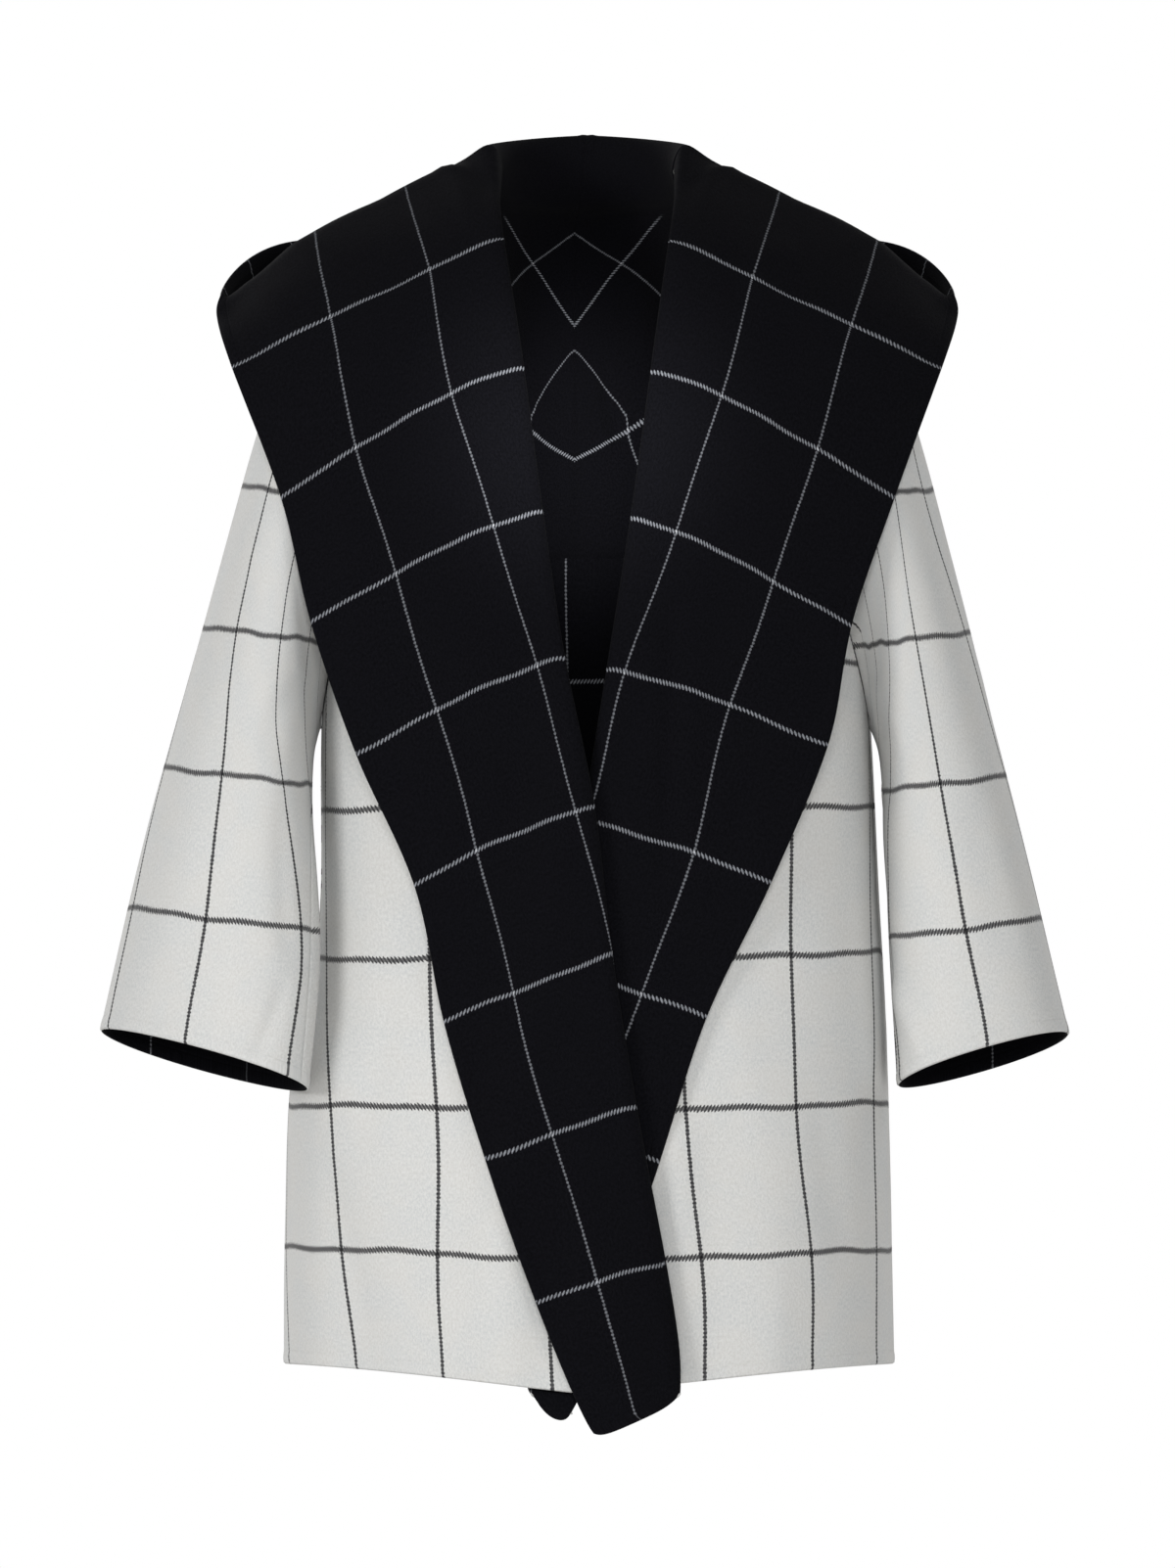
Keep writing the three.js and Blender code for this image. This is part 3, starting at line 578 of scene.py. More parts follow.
def ridge_row(side, below, seam):
    """The row before it, on the ridge over the shoulder."""
    first = PANEL_STEPS + STAND_STEPS + 2 * ROLL_STEPS
    neck = turn_to(side, NECK_X, DOME_Z)
    edge = lerp(panel_edge(DOME_Z, RIDGE_DOME + 1), TIP_TURN, RIDGE_TIP)
    row = []
    for c, end in enumerate(seam):
        p = lerp(below[c], end, RIDGE_SHARE)
        if c <= PANEL_STEPS:
            p = body_point(side, -1, lerp(edge, neck, c / PANEL_STEPS), DOME_Z, RIDGE_DOME)
        elif c > first - ROLL_STEPS:
            x = abs(p[0]) + RIDGE_FLARE * (LAPEL_PLACES[c - first - 1] if c > first else 0) ** 6
            risen = smoothstep(x, NECK_X - RIDGE_INSIDE, NECK_X + RIDGE_OUTSIDE)
            p = np.array((side * x, lerp(p[1], RIDGE_Y, risen), lerp(p[2], ridge_z(x), risen)))
        row.append(p)
    return row


def arcs(grid, axis):
    """Distance along a grid's rows (axis 1) or columns (axis 0) from its first point."""
    steps = np.linalg.norm(np.diff(grid, axis=axis), axis=2)
    zero = np.zeros_like(np.take(steps, [0], axis=axis))
    return np.concatenate([zero, np.cumsum(steps, axis=axis)], axis=axis)


def normals(grid):
    """The way out at each point of a grid: rows run up, columns to the wearer's left seen from outside."""
    up = np.gradient(grid, axis=0, edge_order=2)
    across = np.gradient(grid, axis=1, edge_order=2)
    out = np.cross(across, up)
    return out / np.maximum(np.linalg.norm(out, axis=2, keepdims=True), 1e-9)


def crease(grid, rows, where=1.0):
    """Presses creases into a grid: each runs from one point to another and fades at its ends."""
    x, z = grid[..., 0], grid[..., 2]
    out = np.zeros(x.shape)
    for row in rows:
        start = np.array((row["x0"], row["z0"]), float)
        way = np.array((row["x1"], row["z1"]), float) - start
        length = np.linalg.norm(way)
        way /= length
        along = ((x - start[0]) * way[0] + (z - start[1]) * way[1]) / length
        away = ((x - start[0]) * way[1] - (z - start[1]) * way[0]) / row["half"]
        # A slight bend keeps the crease from looking ruled
        away = away + 0.35 * np.sin(3.1 * along + row["x0"])
        ends = np.clip(1 - (2 * np.clip(along, -0.4, 1.4) - 1) ** 4, 0, 1)
        out += row["deep"] * np.exp(-away * away) * ends * where
    return grid + normals(grid) * out[..., None]


def ripple(grid, size, deep, seed):
    """A slow, uneven hand of the cloth: three long waves that never line up."""
    x, y, z = grid[..., 0], grid[..., 1], grid[..., 2]
    wave = (
        np.sin((x * 0.9 + z * 0.35) / size + seed)
        + np.sin((z * 0.8 - x * 0.5 + y * 0.4) / (1.37 * size) + 2.1 * seed)
        + np.sin((x * 0.3 + y * 0.9 - z * 0.6) / (0.73 * size) + 3.7 * seed)
    )
    return grid + normals(grid) * (wave * deep / 3)[..., None]


def wandered(u, v):
    """The check's lines wander a little, as they do on soft cloth."""
    aside = 0.7 * np.sin(v / 27 + u / 90)
    up = 0.9 * np.sin(u / 21 + v / 70) + 0.5 * np.sin(u / 8.5 - v / 43)
    return u + aside, v + up


def cloth(name, grid, u, v, edges, plain=None):
    """A wall round a grid, its ivory face out and its black face in, with rounded free edges.
    edges is the distance of each point from the nearest turned-in edge."""
    rows, columns = grid.shape[:2]
    u, v = wandered(u, v)
    out = normals(grid)
    from_crest = np.abs(edges - EDGE_CREST * EDGE_TURN) / ((1 - EDGE_CREST) * EDGE_TURN)
    swell = EDGE_SWELL * np.clip(1 - from_crest, 0, 1) ** 0.6
    half = (CLOTH / 2 + swell)[..., None]
    outer, inner = grid + out * half, grid - out * half
    # The middle of each border stands out a little, so that the edge is round
    rim = grid.copy()
    for line, beside in ((0, 1), (-1, -2)):
        for g, r in ((grid, rim), (grid.swapaxes(0, 1), rim.swapaxes(0, 1))):
            way = g[line] - g[beside]
            way /= np.maximum(np.linalg.norm(way, axis=1, keepdims=True), 1e-9)
            r[line] = r[line] + way * (CLOTH * EDGE_ROUND)
    border = (
        [(0, c) for c in range(columns)]
        + [(r, columns - 1) for r in range(1, rows)]
        + [(rows - 1, c) for c in range(columns - 2, -1, -1)]
        + [(r, 0) for r in range(rows - 2, 0, -1)]
    )
    count = rows * columns
    places = np.arange(count).reshape(rows, columns)
    low, right = places[:-1, :-1].ravel(), places[:-1, 1:].ravel()
    high, far = places[1:, :-1].ravel(), places[1:, 1:].ravel()
    faces = np.concatenate(
        [
            np.stack([low, right, far, high], 1),
            np.stack([low, high, far, right], 1) + count,
        ]
    ).tolist()
    faces_out = len(faces) // 2
    black = [False] * faces_out + [True] * faces_out
    around = [int(places[p]) for p in border]
    for k, a in enumerate(around):
        b = around[(k + 1) % len(around)]
        mid_a, mid_b = 2 * count + k, 2 * count + (k + 1) % len(around)
        faces += [[a, mid_a, mid_b, b], [mid_a, a + count, b + count, mid_b]]
        black += [False, True]
    points = np.concatenate([outer.reshape(-1, 3), inner.reshape(-1, 3), [rim[p] for p in border]])
    mesh = bpy.data.meshes.new(name)
    mesh.from_pydata((points * MM).tolist(), [], faces)
    mesh.polygons.foreach_set("material_index", np.array(black, int))
    mesh.polygons.foreach_set("use_smooth", np.ones(len(faces), bool))

    def spread(values):
        flat = values.reshape(-1)
        return np.concatenate([flat, flat, [values[p] for p in border]])

    corner = np.zeros(len(mesh.loops), int)
    mesh.loops.foreach_get("vertex_index", corner)
    layer = mesh.uv_layers.new(name="cloth")
    pairs = np.stack([spread(u)[corner], spread(v)[corner]], 1) * MM
    layer.data.foreach_set("uv", pairs.ravel())
    for label, values in (("edge", edges), ("plain", np.zeros(u.shape) if plain is None else plain)):
        attribute = mesh.attributes.new(label, "FLOAT", "POINT")
        attribute.data.foreach_set("value", spread(values).astype(np.float32))
    mesh.validate()
    mesh.update()
    piece = bpy.data.objects.new(name, mesh)
    bpy.context.scene.collection.objects.link(piece)
    return piece


def dress(piece, node, faces, slot, held, grid, hung_on, widest=slice(None)):
    """Gives a piece its two faces, hangs it from the root and hides the part that it stands for. widest, the
    rows that would give its flat width, is not used.
    """
    for material in faces:
        piece.data.materials.append(material)
    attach(piece, "root")
    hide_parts(node)


def front_cloth(name, side, rows):
    """A front with its lapel, cut in one."""
    last = len(rows) - 1
    seam = np.array(seam_row(side))
    below = front_row(side, rows, last)
    before = front_row(side, rows, last - 1)
    keys = [np.array(k) for k in (before, below, ridge_row(side, below, seam), seam, seam)]
    positions = [0, 0.01, 0.022, 0.04, 0.065, 0.1] + spaced(0.1, last, 118) + spaced(last, last + 2, 34)
    grid = []
    for at in positions:
        if at <= last:
            grid.append(front_row(side, rows, at))
            continue
        i = min(math.floor(at - last), 1)
        grid.append(between(keys[i], keys[i + 1], keys[i + 2], keys[i + 3], at - last - i))
    grid = np.array([np.array(r) for r in grid])
    fold = PANEL_STEPS + STAND_STEPS + ROLL_STEPS
    level = np.array(positions)

    # The check: up the cloth it follows the rows, and above the last line the cloth's own length
    up = arcs(grid, 0)
    top = positions.index(last)
    v = np.repeat((CHECK_UP * level)[:, None], grid.shape[1], 1)
    v[top:] = CHECK_UP * last + (up[top:] - up[top]) * RIDGE_SHRINK
    first = int(np.searchsorted(level, 1.0))
    v[:first] = np.maximum(CHECK_UP * level[first] - (up[first] - up[:first]), HEM_PLAIN)

    # Across the cloth it keeps its distance from an upright line on the lapel and from one on the front
    across = arcs(grid, 1)
    line = np.array([column(rows, "line", min(at, last)) for at in positions])
    on_lapel = across - across[:, [fold]] - line[:, None]
    # Over the shoulder the lapel's two upright lines keep their way
    leaning = []
    for mark, lean in zip((0.0, CHECK_ACROSS), TOP_LEAN[side]):
        way = side * grid[:, fold:, 0] - lean * grid[:, fold:, 2]
        start = np.interp(mark, on_lapel[top, fold:], way[top])
        leaning.append([np.interp(start, w, a) for w, a in zip(way, across[:, fold:])])
    for r in range(top, len(positions)):
        inner, outer = leaning[0][r], leaning[1][r]
        inside = min(inner - across[r, fold], TOP_WIDEST)
        places = (across[r, fold], inner, outer, outer + across[r, -1])
        marks = (-inside, 0.0, CHECK_ACROSS, CHECK_ACROSS + across[r, -1])
        on_lapel[r, fold:] = np.interp(across[r, fold:], places, marks)
    u = on_lapel.copy()
    for r, at in enumerate(positions):
        outwards = side * grid[r, :PANEL_STEPS, 0]
        marks = [column(rows, key, min(at, last)) for key in ("side_x", "front_x")]
        places = np.interp([-m for m in marks], -outwards, across[r, :PANEL_STEPS])
        stretch = CHECK_ACROSS / (places[1] - places[0])
        on_front = across[r] - places[1]
        between_lines = np.maximum(on_front * stretch, -CHECK_ACROSS)
        on_front = np.where(on_front > 0, on_front * INNER_SHRINK, between_lines)
        on_front += np.minimum(across[r] - places[0], 0)
        gap = on_lapel[r, fold] - on_front[fold]
        gap -= CHECK_ACROSS * round(gap / CHECK_ACROSS)
        near = np.clip((across[r] - across[r, fold] + 80) / 70, 0, 1)
        u[r, :fold] = (on_front + gap * near * near * (3 - 2 * near))[:fold]
        outer = u[r, fold:]
        u[r, fold:] = np.minimum(outer, CHECK_ACROSS) + np.maximum(outer - CHECK_ACROSS, 0) * OUTER_SHRINK
        u[r, :fold] += on_lapel[r, fold] - (on_front[fold] + gap)
        # Where the front goes over to the hood no line lies just inside the fold
        empty = FOLD_PLAIN * smoothstep(at, last - 0.6, last)
        u[r, :fold] += np.minimum(across[r, fold] - across[r, :fold], empty)
    high = np.clip((level - 3) / 2, 0, 1)[:, None]
    v += FOLD_DROP * high * np.exp(-np.abs(across - across[:, [fold]]) / FOLD_DROP_REACH)
    edges = np.minimum(up, across[:, [-1]] - across)
    # Behind the fold the rows near the hood have no free hem
    lapel = np.arange(grid.shape[1]) > fold
    grid = ripple(grid, 46, 1.1, 1.3 * side)
    grid = crease(grid, FRONT_CREASES, (~lapel)[None, :] * 1.0)
    grid = crease(grid, LAPEL_CREASES, lapel[None, :] * 1.0)
    if side > 0:
        grid, u, v, edges = (g[:, ::-1] for g in (grid, u, v, edges))
    return cloth(name, grid, u, v, edges), grid


def back_cloth(name):
    """The back: its columns start at the shoulder seams and the scoop and spread down to the hem."""
    half = SHOULDER_STEPS + BACK_COLUMNS
    levels = [0, 0.0015, 0.004, 0.008, 0.013, 0.02] + spaced(0.02, 1, 112)
    grid = []
    for up in levels:
        row = []
        for c in range(-half, half + 1):
            side = -1 if c < 0 else 1
            place = half - abs(c)
            neck = turn_to(side, NECK_X, DOME_Z)
            if place <= SHOULDER_STEPS:
                top_turn = lerp(TIP_TURN, neck, place / SHOULDER_STEPS)
                top_dome, top_z = 90.0, DOME_Z
            else:
                scoop = scoop_point(side, (place - SHOULDER_STEPS) / BACK_COLUMNS, -SEAM_EASE)
                top_turn = turn_to(side, abs(scoop[0]), scoop[2])
                top_dome, top_z = dome_to(abs(scoop[0]), scoop[2]), min(scoop[2], DOME_Z)
            top = 1 + top_dome / 90 if top_dome > 0 else (top_z - HEM_Z) / (DOME_Z - HEM_Z)
            level = up * top
            height, dome = lerp(HEM_Z, DOME_Z, min(1.0, level)), 90 * max(0.0, level - 1)
            share = lerp(abs(c) / half, top_turn / panel_edge(top_z, top_dome), up)
            row.append(body_point(side, 1, share * panel_edge(height, dome), height, dome))
        grid.append(row[::-1])
    grid = np.array(grid)
    up = arcs(grid, 0)
    # The upright lines keep their distance from the centre, measured on level sections
    heights = np.linspace(HEM_Z, DOME_Z, 24)
    turns = np.linspace(0, 90, 61)
    u = np.zeros(grid.shape[:2])
    nearest = np.clip((grid[..., 2] - HEM_Z) / (heights[1] - heights[0]), 0, len(heights) - 1)
    for side in (-1, 1):
        for k, z in enumerate(heights):
            section = np.array([[body_point(side, 1, turn, z, 0) for turn in turns]])
            reach = np.interp(side * grid[..., 0], side * section[0, :, 0], arcs(section, 1)[0])
            share = np.clip(1 - np.abs(nearest - k), 0, 1)
            u -= np.where(side * grid[..., 0] > 0, side * reach * share, 0)
    u -= BACK_LINE
    # The lines across meet the fronts' at the side seams and hang lower at the centre
    level = grid[..., 2] + BACK_SAG * np.clip(1 - (grid[..., 0] / BACK_HALF_WIDTH) ** 2, 0, 1)
    pairs = zip(FRONT_RIGHT[:BODY_ROWS], FRONT_LEFT[:BODY_ROWS])
    at_seam = [(right["side_z"] + left["side_z"]) / 2 for right, left in pairs]
    marks = [CHECK_UP * k for k in range(BODY_ROWS)]
    marks[0] = CHECK_UP - (at_seam[1] - at_seam[0])
    v = np.interp(level, at_seam, marks) + np.maximum(level - at_seam[-1], 0)
    grid = ripple(grid, 60, 1.6, 0.7)
    grid = crease(grid, BACK_CREASES)
    return cloth(name, grid, u, v, up), grid


def armhole_point(side, face, z):
    tip = shoulder_z(body_width(side, DOME_Z))
    dome = math.degrees(math.asin(clamp((z - DOME_Z) / (tip - DOME_Z), 0.0, 1.0))) if z > DOME_Z else 0.0
    return body_point(side, face, panel_edge(min(z, DOME_Z), dome), min(z, DOME_Z), dome)


def signed_power(value, power):
    return math.copysign(abs(value) ** power, value)


def sleeve_point(side, row, turn):
    """A point of a sleeve's ring: turn runs from the outer point over the front."""
    outer = np.array((side * row["out_x"], row["out_y"], row["out_z"]))
    edge = "right" if side < 0 else "left"
    under = np.array((side * row[edge + "_x"], row[edge + "_y"], row["under_z"]))
    centre = (outer + under) / 2
    long = outer - centre
    deep = np.array((0.0, 1.0, 0.0))
    deep -= long * long[1] / long.dot(long)
    deep *= row["deep"] / np.linalg.norm(deep)
    back = signed_power(-math.sin(turn), 2 / SLEEVE_POWER)
    p = centre + long * signed_power(math.cos(turn), 2 / SLEEVE_POWER) + deep * back
    p[2] -= row["tilt"] * (0.25 + 0.5 * back)
    return p


def sleeve_cloth(name, side):
    """A sleeve, from the cuff up, sewn along its under side."""
    around, last = 104, len(SLEEVES) - 1
    gap = 0.0025  # half the width of the under seam, as a turn
    turns = [lerp(-math.pi + gap, math.pi - gap, k / around) for k in range(around + 1)]
    places = [last - at for at in [0, 0.008, 0.02, 0.036, 0.06, 0.09] + spaced(0.09, last, 92)]
    tip = shoulder_z(body_width(side, DOME_Z))
    grid = []
    for at in places:
        row = row_of(SLEEVES, at)
        joined = 1 - smoothstep(at, 0, SLEEVE_JOIN)
        ring = []
        for turn in turns:
            z = lerp(UNDERARM_Z, tip, 0.5 + 0.5 * math.cos(turn))
            edge = armhole_point(side, -1 if math.sin(turn) > 0 else 1, z)
            edge[0] += side * (SEAM_EASE + CLOTH)
            ring.append(lerp(sleeve_point(side, row, turn), edge, joined))
        grid.append(ring)
    grid = np.array(grid)
    across, up = arcs(grid, 1), arcs(grid, 0)
    lean = math.radians(SLEEVE_LEAN)
    start, step = SLEEVE_CHECK[side]
    down = side * grid[..., 0] * math.sin(lean) - grid[..., 2] * math.cos(lean)
    v = np.maximum(-(down - start) * CHECK_UP / step, HEM_PLAIN - 4 * CHECK_UP)
    u = np.zeros(v.shape)
    front = np.array(turns) > SLEEVE_FRONT
    key = "right" if side < 0 else "left"
    for r in range(len(places)):
        out = side * grid[r, :, 0]
        line_at = [row_where(SLEEVE_LINE, "z", z) for z in grid[r, :, 2]]
        line = np.array([column(SLEEVE_LINE, key, at) for at in line_at])
        gone = np.where(front & (out < line))[0]
        at = gone[0] if len(gone) else around
        a, b = (out - line)[at - 1], (out - line)[at]
        place = lerp(across[r, at - 1], across[r, at], clamp(a / (a - b), 0, 1) if a != b else 0)
        u[r] = across[r] - place
    # Behind the outer edge the upright lines keep their level distance from it
    outer = int(np.argmin(np.abs(turns)))
    on_back = np.array(turns) < turns[outer]
    rim_z, rim_x = grid[:, outer, 2], side * grid[:, outer, 0]
    rim_u = np.interp(grid[..., 2], rim_z, u[:, outer])
    inwards = np.interp(grid[..., 2], rim_z, rim_x) - side * grid[..., 0]
    u = np.where(on_back[None, :], rim_u - SLEEVE_ROUND * inwards, u)
    grid = ripple(grid, 50, 1.2, 2.2 * side)
    mirrored = [{**row, "x0": side * row["x0"], "x1": side * row["x1"]} for row in SLEEVE_CREASES]
    for face in (-1, 1):
        rows = [row for row in mirrored if row["face"] == face]
        on_face = -face * np.array(turns) > 0
        grid = crease(grid, rows, on_face[None, :] * 1.0)
    if side > 0:
        grid, u, v, up = (g[:, ::-1] for g in (grid, u, v, up))
    return cloth(name, grid, u, v, up), grid


def hood_cloth(name, side):
    """Half of the hood, from the seam on the shoulder to the centre back."""
    places = [0.0]
    places += spaced(0, ROLL_KEY - 1, 44) + spaced(ROLL_KEY - 1, ROLL_KEY + 1, 16)
    places += towards(ROLL_KEY + 1, LAST_KEY, 84, 1.25)
    sections = []
    for i in range(HOOD_STEPS + 1):
        sections.append(through(hood_keys(side, i / HOOD_STEPS), places))
    grid = np.array(sections).swapaxes(0, 1)
    grid[:, -1, 0] = 0
    across = arcs(grid[:, ::-1], 1)[:, ::-1]  # from the centre back
    up = arcs(grid, 0)
    wall_top = int(np.searchsorted(places, UNDER_BAND))
    height = grid[..., 2] - SCOOP_Z
    height[wall_top:] = height[[wall_top]] + up[wall_top:] - up[wall_top]
    bend = np.clip((height - HOOD_BEND) / HOOD_BEND_LENGTH, 0, 1)
    scale = lerp(1.0, HOOD_SHRINK, bend)
    tall = np.minimum(height, HOOD_BEND) + (np.maximum(height, HOOD_BEND) - HOOD_BEND) * scale
    place = np.array(places)
    # In the neck the lines run straight as seen from the front, and behind it on the cloth
    behind = np.clip((place - UNDER_BAND) / 2, 0, 1)[:, None]
    wide = lerp(np.abs(grid[..., 0]), across * scale, behind)
    bag_side = np.clip((place - UNDER_BAND - 0.4) / 2, 0, 1)[:, None]
    marks = [row["height"] for row in HOOD_RISE]
    cross, step = HOOD_RISING
    rise = np.interp(tall, marks, [row["rising"] for row in HOOD_RISE])
    v = (tall - rise * wide - cross) * CHECK_UP / step + BAG_SHIFT[1] * bag_side
    cross, step = HOOD_FALLING
    rise = np.interp(tall, marks, [row["falling"] for row in HOOD_RISE])
    low = np.where(tall < HOOD_LOW, HOOD_LOW - HOOD_SPREAD * (HOOD_LOW - tall), tall)
    u = (low - rise * wide - cross) * CHECK_ACROSS / step + BAG_SHIFT[0] * bag_side
    # The seams inside the neck are felled flat and stand a little proud of the black face
    inside = (place < 2.4)[:, None] * 1.0
    felled = np.exp(-(((across - 3.5) / 2.5) ** 2)) + np.exp(-(((height - 4) / 2.5) ** 2)) * inside
    # The centre seam hangs a little to one side inside the neck
    reach = lerp(SCOOP_FLAT, NECK_X, np.clip(place, 0, 1))[:, None]
    slipped = np.clip(1 - (grid[..., 0] / reach) ** 2, 0, 1)
    slipped *= np.clip(1 - (place[:, None] - UNDER_BAND) / 3, 0, 1)
    grid[..., 0] -= SEAM_SHIFT * slipped
    # The band behind the neck shows no line on its black face
    band = np.clip((place - 1.9) / 0.2, 0, 1) * np.clip((ROLL_KEY + 0.6 - place) / 0.3, 0, 1)
    plain = np.repeat(band[:, None], grid.shape[1], 1)
    edges = up[[-1]] - up
    hem = np.where(place[:, None] > ROLL_KEY + 1, edges, 60.0)
    bag = (place > 8)[:, None] * 1.0
    order = slice(None, None, side)
    grid, u, v, plain, hem, felled = (g[:, order] for g in (grid, u, v, plain, hem, felled))
    grid = grid - normals(grid) * (SEAM_RIDGE * felled)[..., None]
    grid = crease(grid, HOOD_CREASES, inside)
    grid = crease(grid, BAG_CREASES, bag)
    return cloth(name, grid, u, v, hem, plain), grid


def linear(code):
    """A linear colour from sRGB hex."""
    parts = [int(code[i : i + 2], 16) / 255 for i in (1, 3, 5)]
    return [p / 12.92 if p <= 0.04045 else ((p + 0.055) / 1.055) ** 2.4 for p in parts] + [1.0]


def add(tree, kind, sockets, output=0, **settings):
    """Adds a node with its settings, and a value or another node's output for each of its sockets."""
    node = tree.nodes.new("ShaderNode" + kind)
    for name, value in settings.items():
        setattr(node, name, value)
    for key, value in sockets.items() if isinstance(sockets, dict) else enumerate(sockets):
        if isinstance(value, bpy.types.NodeSocket):
            tree.links.new(value, node.inputs[key])
        else:
            node.inputs[key].default_value = value
    return node.outputs[output] if node.outputs else None


# Sizes of the cloth's finish, in millimetres
THREAD_DOTS = 3.0  # distance between the dots of the line up the cloth, where its yarn dips under
STROKE_STEP = 2.6  # distance between the slanted strokes across, drawn coarser than the twill's 2 mm
TUFT = 1.5  # tufts of the brushed nap, drawn about three times as coarse as they are, so that they show
CLOUD = 42.0  # slow unevenness of the fulled ground


def wool(name, colours, lines, finish):
    """Double-faced coating wool, woven in twill, fulled and brushed: a matt, short, dense nap, in which the
    check's yarns show as a fine dotted line up the cloth and as slanted feathery strokes across it. Each
    line has its half width in millimetres and its strength, and then how far its yarns sink between strokes."""
    ground, warm, cool, check, crossing = colours
    up_line, cross_line, broken = lines
    gloss, sheen, relief = finish
    material = bpy.data.materials.new(name)
    material.use_nodes = True
    tree = material.node_tree
    tree.nodes.clear()
    chart = add(tree, "UVMap", (), uv_map="cloth")
    place = add(tree, "VectorMath", {0: chart, "Scale": 1 / MM}, operation="SCALE")
    u = add(tree, "SeparateXYZ", (place,), 0)
    v = add(tree, "SeparateXYZ", (place,), 1)

    # Nap: tufts a little longer up the cloth, finer fibres over them, and the ground's slow clouds
    combed = add(tree, "Mapping", {"Vector": place, "Scale": (1.0, 0.6, 1.0)})
    tufts = add(tree, "TexNoise", {"Vector": combed, "Scale": 1 / TUFT, "Detail": 4.0, "Roughness": 0.7})
    fibres = add(tree, "TexNoise", {"Vector": place, "Scale": 2.1, "Detail": 2.0, "Roughness": 0.7})
    clouds = add(tree, "TexNoise", {"Vector": place, "Scale": 1 / CLOUD, "Detail": 3.0, "Roughness": 0.55})
    drift = add(tree, "TexNoise", {"Vector": place, "Scale": 0.3, "Detail": 2.0, "Roughness": 0.5})
    waver = add(tree, "Math", (drift, 1.0, -0.5), operation="MULTIPLY_ADD")
    fray = add(tree, "Math", (tufts, 2.0, -1.0), operation="MULTIPLY_ADD")

    # The fine line up the cloth, narrower and fainter where its yarn dips under
    across = add(tree, "Math", (u, waver), operation="ADD")
    across = add(tree, "Math", (across, CHECK_ACROSS / 2), operation="PINGPONG")
    across = add(tree, "Math", (across, fray), operation="ADD")
    dots = add(tree, "Math", (v, 2 * math.pi / THREAD_DOTS), operation="MULTIPLY")
    dots = add(tree, "Math", (dots,), operation="SINE")
    across = add(tree, "Math", (dots, -0.25, across), operation="MULTIPLY_ADD")
    ease = {"interpolation_type": "SMOOTHSTEP"}
    wide, strong = up_line
    thread = add(tree, "MapRange", (across, wide + 0.3, wide - 0.3, 0.0, strong), **ease)
    dots = add(tree, "Math", (dots, 0.6 * broken, 1 - 0.6 * broken), operation="MULTIPLY_ADD")
    thread = add(tree, "Math", (thread, dots), operation="MULTIPLY")

    # The line across: slanted strokes of uneven length, side by side
    up = add(tree, "Math", (v, waver), operation="ADD")
    up = add(tree, "Math", (up, CHECK_UP / 2), operation="PINGPONG")
    slant = add(tree, "Math", (v, 0.55, u), operation="MULTIPLY_ADD")
    strokes = add(tree, "Math", (slant, 2 * math.pi / STROKE_STEP), operation="MULTIPLY")
    strokes = add(tree, "Math", (strokes,), operation="SINE")
    up = add(tree, "Math", (strokes, -0.8, up), operation="MULTIPLY_ADD")
    up = add(tree, "Math", (fray, 1.6, up), operation="MULTIPLY_ADD")
    wide, strong = cross_line
    feather = add(tree, "MapRange", (up, wide + 0.45, wide - 0.45, 0.0, strong), **ease)
    strokes = add(tree, "Math", (strokes, broken, 1 - broken), operation="MULTIPLY_ADD")
    feather = add(tree, "Math", (feather, strokes), operation="MULTIPLY")

    plain = add(tree, "Attribute", (), 2, attribute_name="plain")
    shown = add(tree, "Math", (1.0, plain), operation="SUBTRACT")
    worn = add(tree, "MapRange", (tufts, 0.36, 0.62, 1 - broken, 1.0), **ease)
    lines = add(tree, "Math", (thread, feather), operation="MAXIMUM")
    lines = add(tree, "Math", (lines, worn), operation="MULTIPLY")
    lines = add(tree, "Math", (lines, shown), operation="MULTIPLY")
    both = add(tree, "Math", (thread, feather), operation="MULTIPLY")
    both = add(tree, "Math", (both, shown), operation="MULTIPLY")

    # Colour: the ground drifts between a warm and a cool tone, and is lighter on the tips of the tufts
    tone = add(tree, "MapRange", (clouds, 0.36, 0.64, 0.0, 1.0), **ease)
    tips = add(tree, "MapRange", (tufts, 0.32, 0.68, 0.0, 1.0), **ease)
    colour = add(tree, "Mix", {0: tone, 6: linear(warm), 7: linear(cool)}, 2, data_type="RGBA")
    colour = add(tree, "Mix", {0: tips, 6: colour, 7: linear(ground)}, 2, data_type="RGBA")
    colour = add(tree, "Mix", {0: lines, 6: colour, 7: linear(check)}, 2, data_type="RGBA")
    colour = add(tree, "Mix", {0: both, 6: colour, 7: linear(crossing)}, 2, data_type="RGBA")

    # Relief: the nap, the raised yarns of the check, and the sunken stitches that hold the turned-in edge
    edge = add(tree, "Attribute", (), 2, attribute_name="edge")
    stitches = add(tree, "Math", (edge, EDGE_TURN), operation="SUBTRACT")
    stitches = add(tree, "Math", (stitches,), operation="ABSOLUTE")
    stitches = add(tree, "MapRange", (stitches, 1.4, 0.0, 0.0, 0.6), **ease)
    height = add(tree, "Math", (fibres, 0.4, tufts), operation="MULTIPLY_ADD")
    height = add(tree, "Math", (lines, 0.2, height), operation="MULTIPLY_ADD")
    height = add(tree, "Math", (height, stitches), operation="SUBTRACT")
    normal = add(tree, "Bump", {"Height": height, "Distance": relief * MM, "Strength": 0.8})

    surface = add(
        tree,
        "BsdfPrincipled",
        {
            "Base Color": colour,
            "Normal": normal,
            "Roughness": 0.95,
            "Specular IOR Level": gloss,
            "Sheen Weight": sheen,
            "Sheen Roughness": 0.5,
        },
    )
    add(tree, "OutputMaterial", (surface,))
    return material


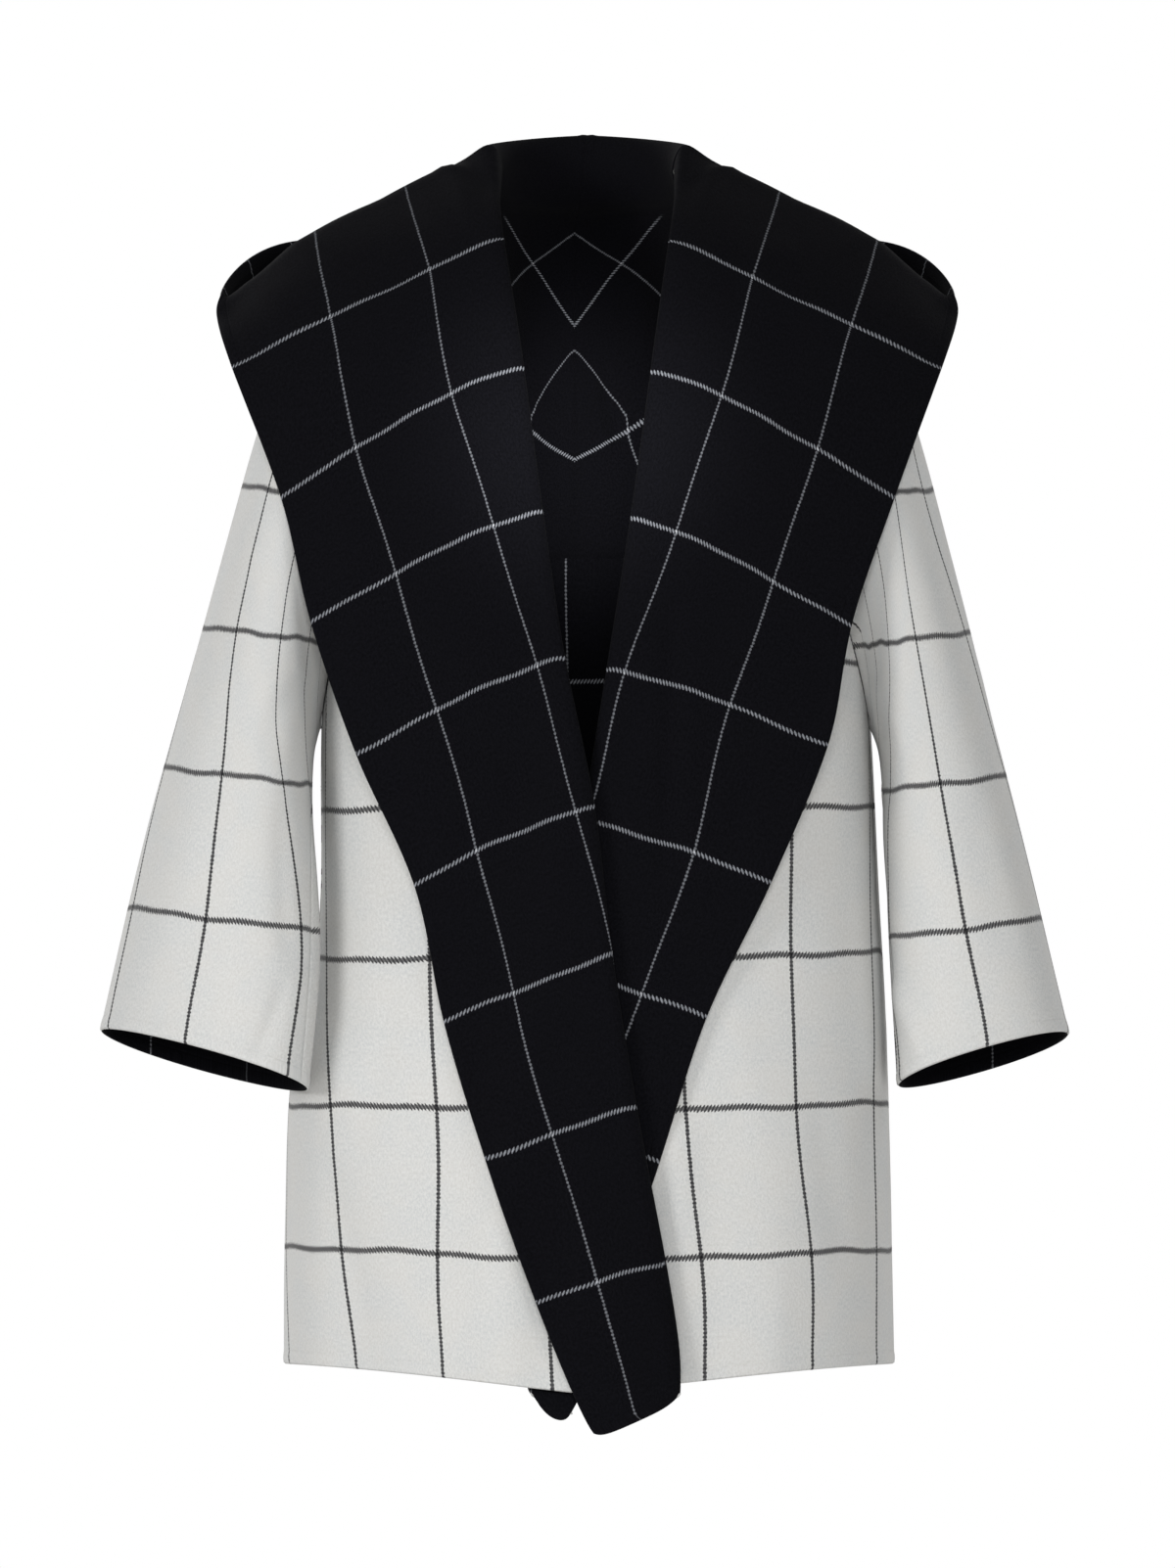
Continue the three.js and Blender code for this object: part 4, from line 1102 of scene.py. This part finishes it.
def stage_floor():
    """A plain pale floor, a wearer's height below the neck."""
    bpy.ops.object.select_all(action="DESELECT")
    bpy.ops.mesh.primitive_circle_add(vertices=96, radius=3.2, fill_type="NGON", location=(0, 0, -1.42))
    floor = bpy.context.object
    floor.name = "floor"
    material = bpy.data.materials.new("pale_floor")
    material.use_nodes = True
    shader = material.node_tree.nodes["Principled BSDF"]
    shader.inputs["Base Color"].default_value = linear("#e9e8e6")
    shader.inputs["Roughness"].default_value = 0.9
    floor.data.materials.append(material)


def hang(data, place, aim):
    """Hangs a light at its place and turns it to what it lights."""
    light = bpy.data.objects.new(data.name, data)
    light.location = place
    light.rotation_euler = (Vector(aim) - Vector(place)).to_track_quat("-Z", "Y").to_euler()
    bpy.context.scene.collection.objects.link(light)


def lamp(name, place, aim, size, power):
    """A soft square light."""
    data = bpy.data.lights.new(name, "AREA")
    data.energy = power
    data.size = size
    hang(data, place, aim)


def snoot(name, place, aim, beam, power):
    """A narrow round light with a soft border."""
    data = bpy.data.lights.new(name, "SPOT")
    data.energy = power
    data.spot_size = beam
    data.spot_blend = 1.0
    data.shadow_soft_size = 0.05
    hang(data, place, aim)


def studio():
    """White paper all round, dimmer as a light than it looks, with soft lamps in front and behind."""
    world = bpy.data.worlds.new("white_room")
    world.use_nodes = True
    tree = world.node_tree
    seen = add(tree, "LightPath", (), "Is Camera Ray")
    strength = add(tree, "MapRange", (seen, 0.0, 1.0, 0.24, 1.0))
    tree.links.new(strength, tree.nodes["Background"].inputs["Strength"])
    tree.nodes["Background"].inputs["Color"].default_value = (1, 1, 1, 1)
    bpy.context.scene.world = world
    middle = (0, 0, -0.4)
    lamp("front_right_key", (-2.5, -2.6, 0.4), middle, 1.1, 54)
    lamp("front_left_soft", (2.0, -2.9, 0.3), middle, 1.2, 18)
    lamp("front_fill", (0.0, -3.6, 0.1), middle, 0.9, 46)
    snoot("neck_snoot", (0, -3.5, 0.1), (-0.008, 0.11, -0.16), 0.08, 620)
    lamp("back_right_soft", (-2.0, 3.0, 0.9), middle, 1.4, 72)
    lamp("back_left_soft", (2.2, 2.8, 0.6), middle, 1.4, 56)
    bpy.context.scene.view_settings.view_transform = "Standard"


# Camera: far away with a long lens, level with the middle of the coat
CAMERA_AWAY = 60.0
PIXEL = 0.75 * MM  # size of the photo's pixel on the coat
PHOTO_ROWS = 1602
ORIGIN_ROW = 250  # the photo's row that shows the origin
PICTURE_HEIGHT = PHOTO_ROWS * PIXEL
PICTURE_MIDDLE = (ORIGIN_ROW - PHOTO_ROWS / 2) * PIXEL


def camera():
    data = bpy.data.cameras.new("long_lens")
    data.sensor_fit = "VERTICAL"
    data.sensor_height = 24
    data.lens = data.sensor_height * CAMERA_AWAY / PICTURE_HEIGHT
    data.clip_end = 2 * CAMERA_AWAY
    eye = bpy.data.objects.new("camera", data)
    eye.location = (0, -CAMERA_AWAY - 0.1, PICTURE_MIDDLE)
    eye.rotation_euler = (math.pi / 2, 0, 0)
    bpy.context.scene.collection.objects.link(eye)
    bpy.context.scene.camera = eye


bpy.ops.object.select_all(action="DESELECT")
camera()
ivory = wool(
    "ivory_brushed_wool",
    ("#d2d2d0", "#c5c4c1", "#bfc1c1", "#15131a", "#0d0c10"),
    ((1.3, 1.0), (2.1, 1.0), 0.1),
    (0.2, 0.1, 0.5),
)
black = wool(
    "black_brushed_wool",
    ("#101014", "#09090c", "#08080b", "#9c9fa6", "#f2f4f8"),
    ((0.6, 0.56), (1.05, 0.9), 0.45),
    (0.03, 0.015, 0.6),
)
faces = (ivory, black)

for name, node, side, rows in (
    ("right_front_cloth", "front_right", -1, FRONT_RIGHT),
    ("left_front_cloth", "front_left", 1, FRONT_LEFT),
):
    piece, grid = front_cloth(name, side, rows)
    hood = "hood_right" if side < 0 else "hood_left"
    dress(piece, node, faces, "ivory_face", "hung", grid, ["back", hood])
piece, grid = back_cloth("back_cloth")
# Its rows dip into the scoop further up, so that its hem is its widest row
dress(piece, "back", faces, "ivory_face", "hung", grid, ["front_right", "front_left"], slice(0, 1))
for name, node, side in (
    ("right_sleeve_cloth", "sleeve_right", -1),
    ("left_sleeve_cloth", "sleeve_left", 1),
):
    piece, grid = sleeve_cloth(name, side)
    dress(piece, node, faces, "ivory_face", "hung", grid, ["back"])
for name, node, side in (
    ("right_hood_cloth", "hood_right", -1),
    ("left_hood_cloth", "hood_left", 1),
):
    piece, grid = hood_cloth(name, side)
    dress(piece, node, faces, "black_face", "draped", grid, ["back"])

stage_floor()
studio()
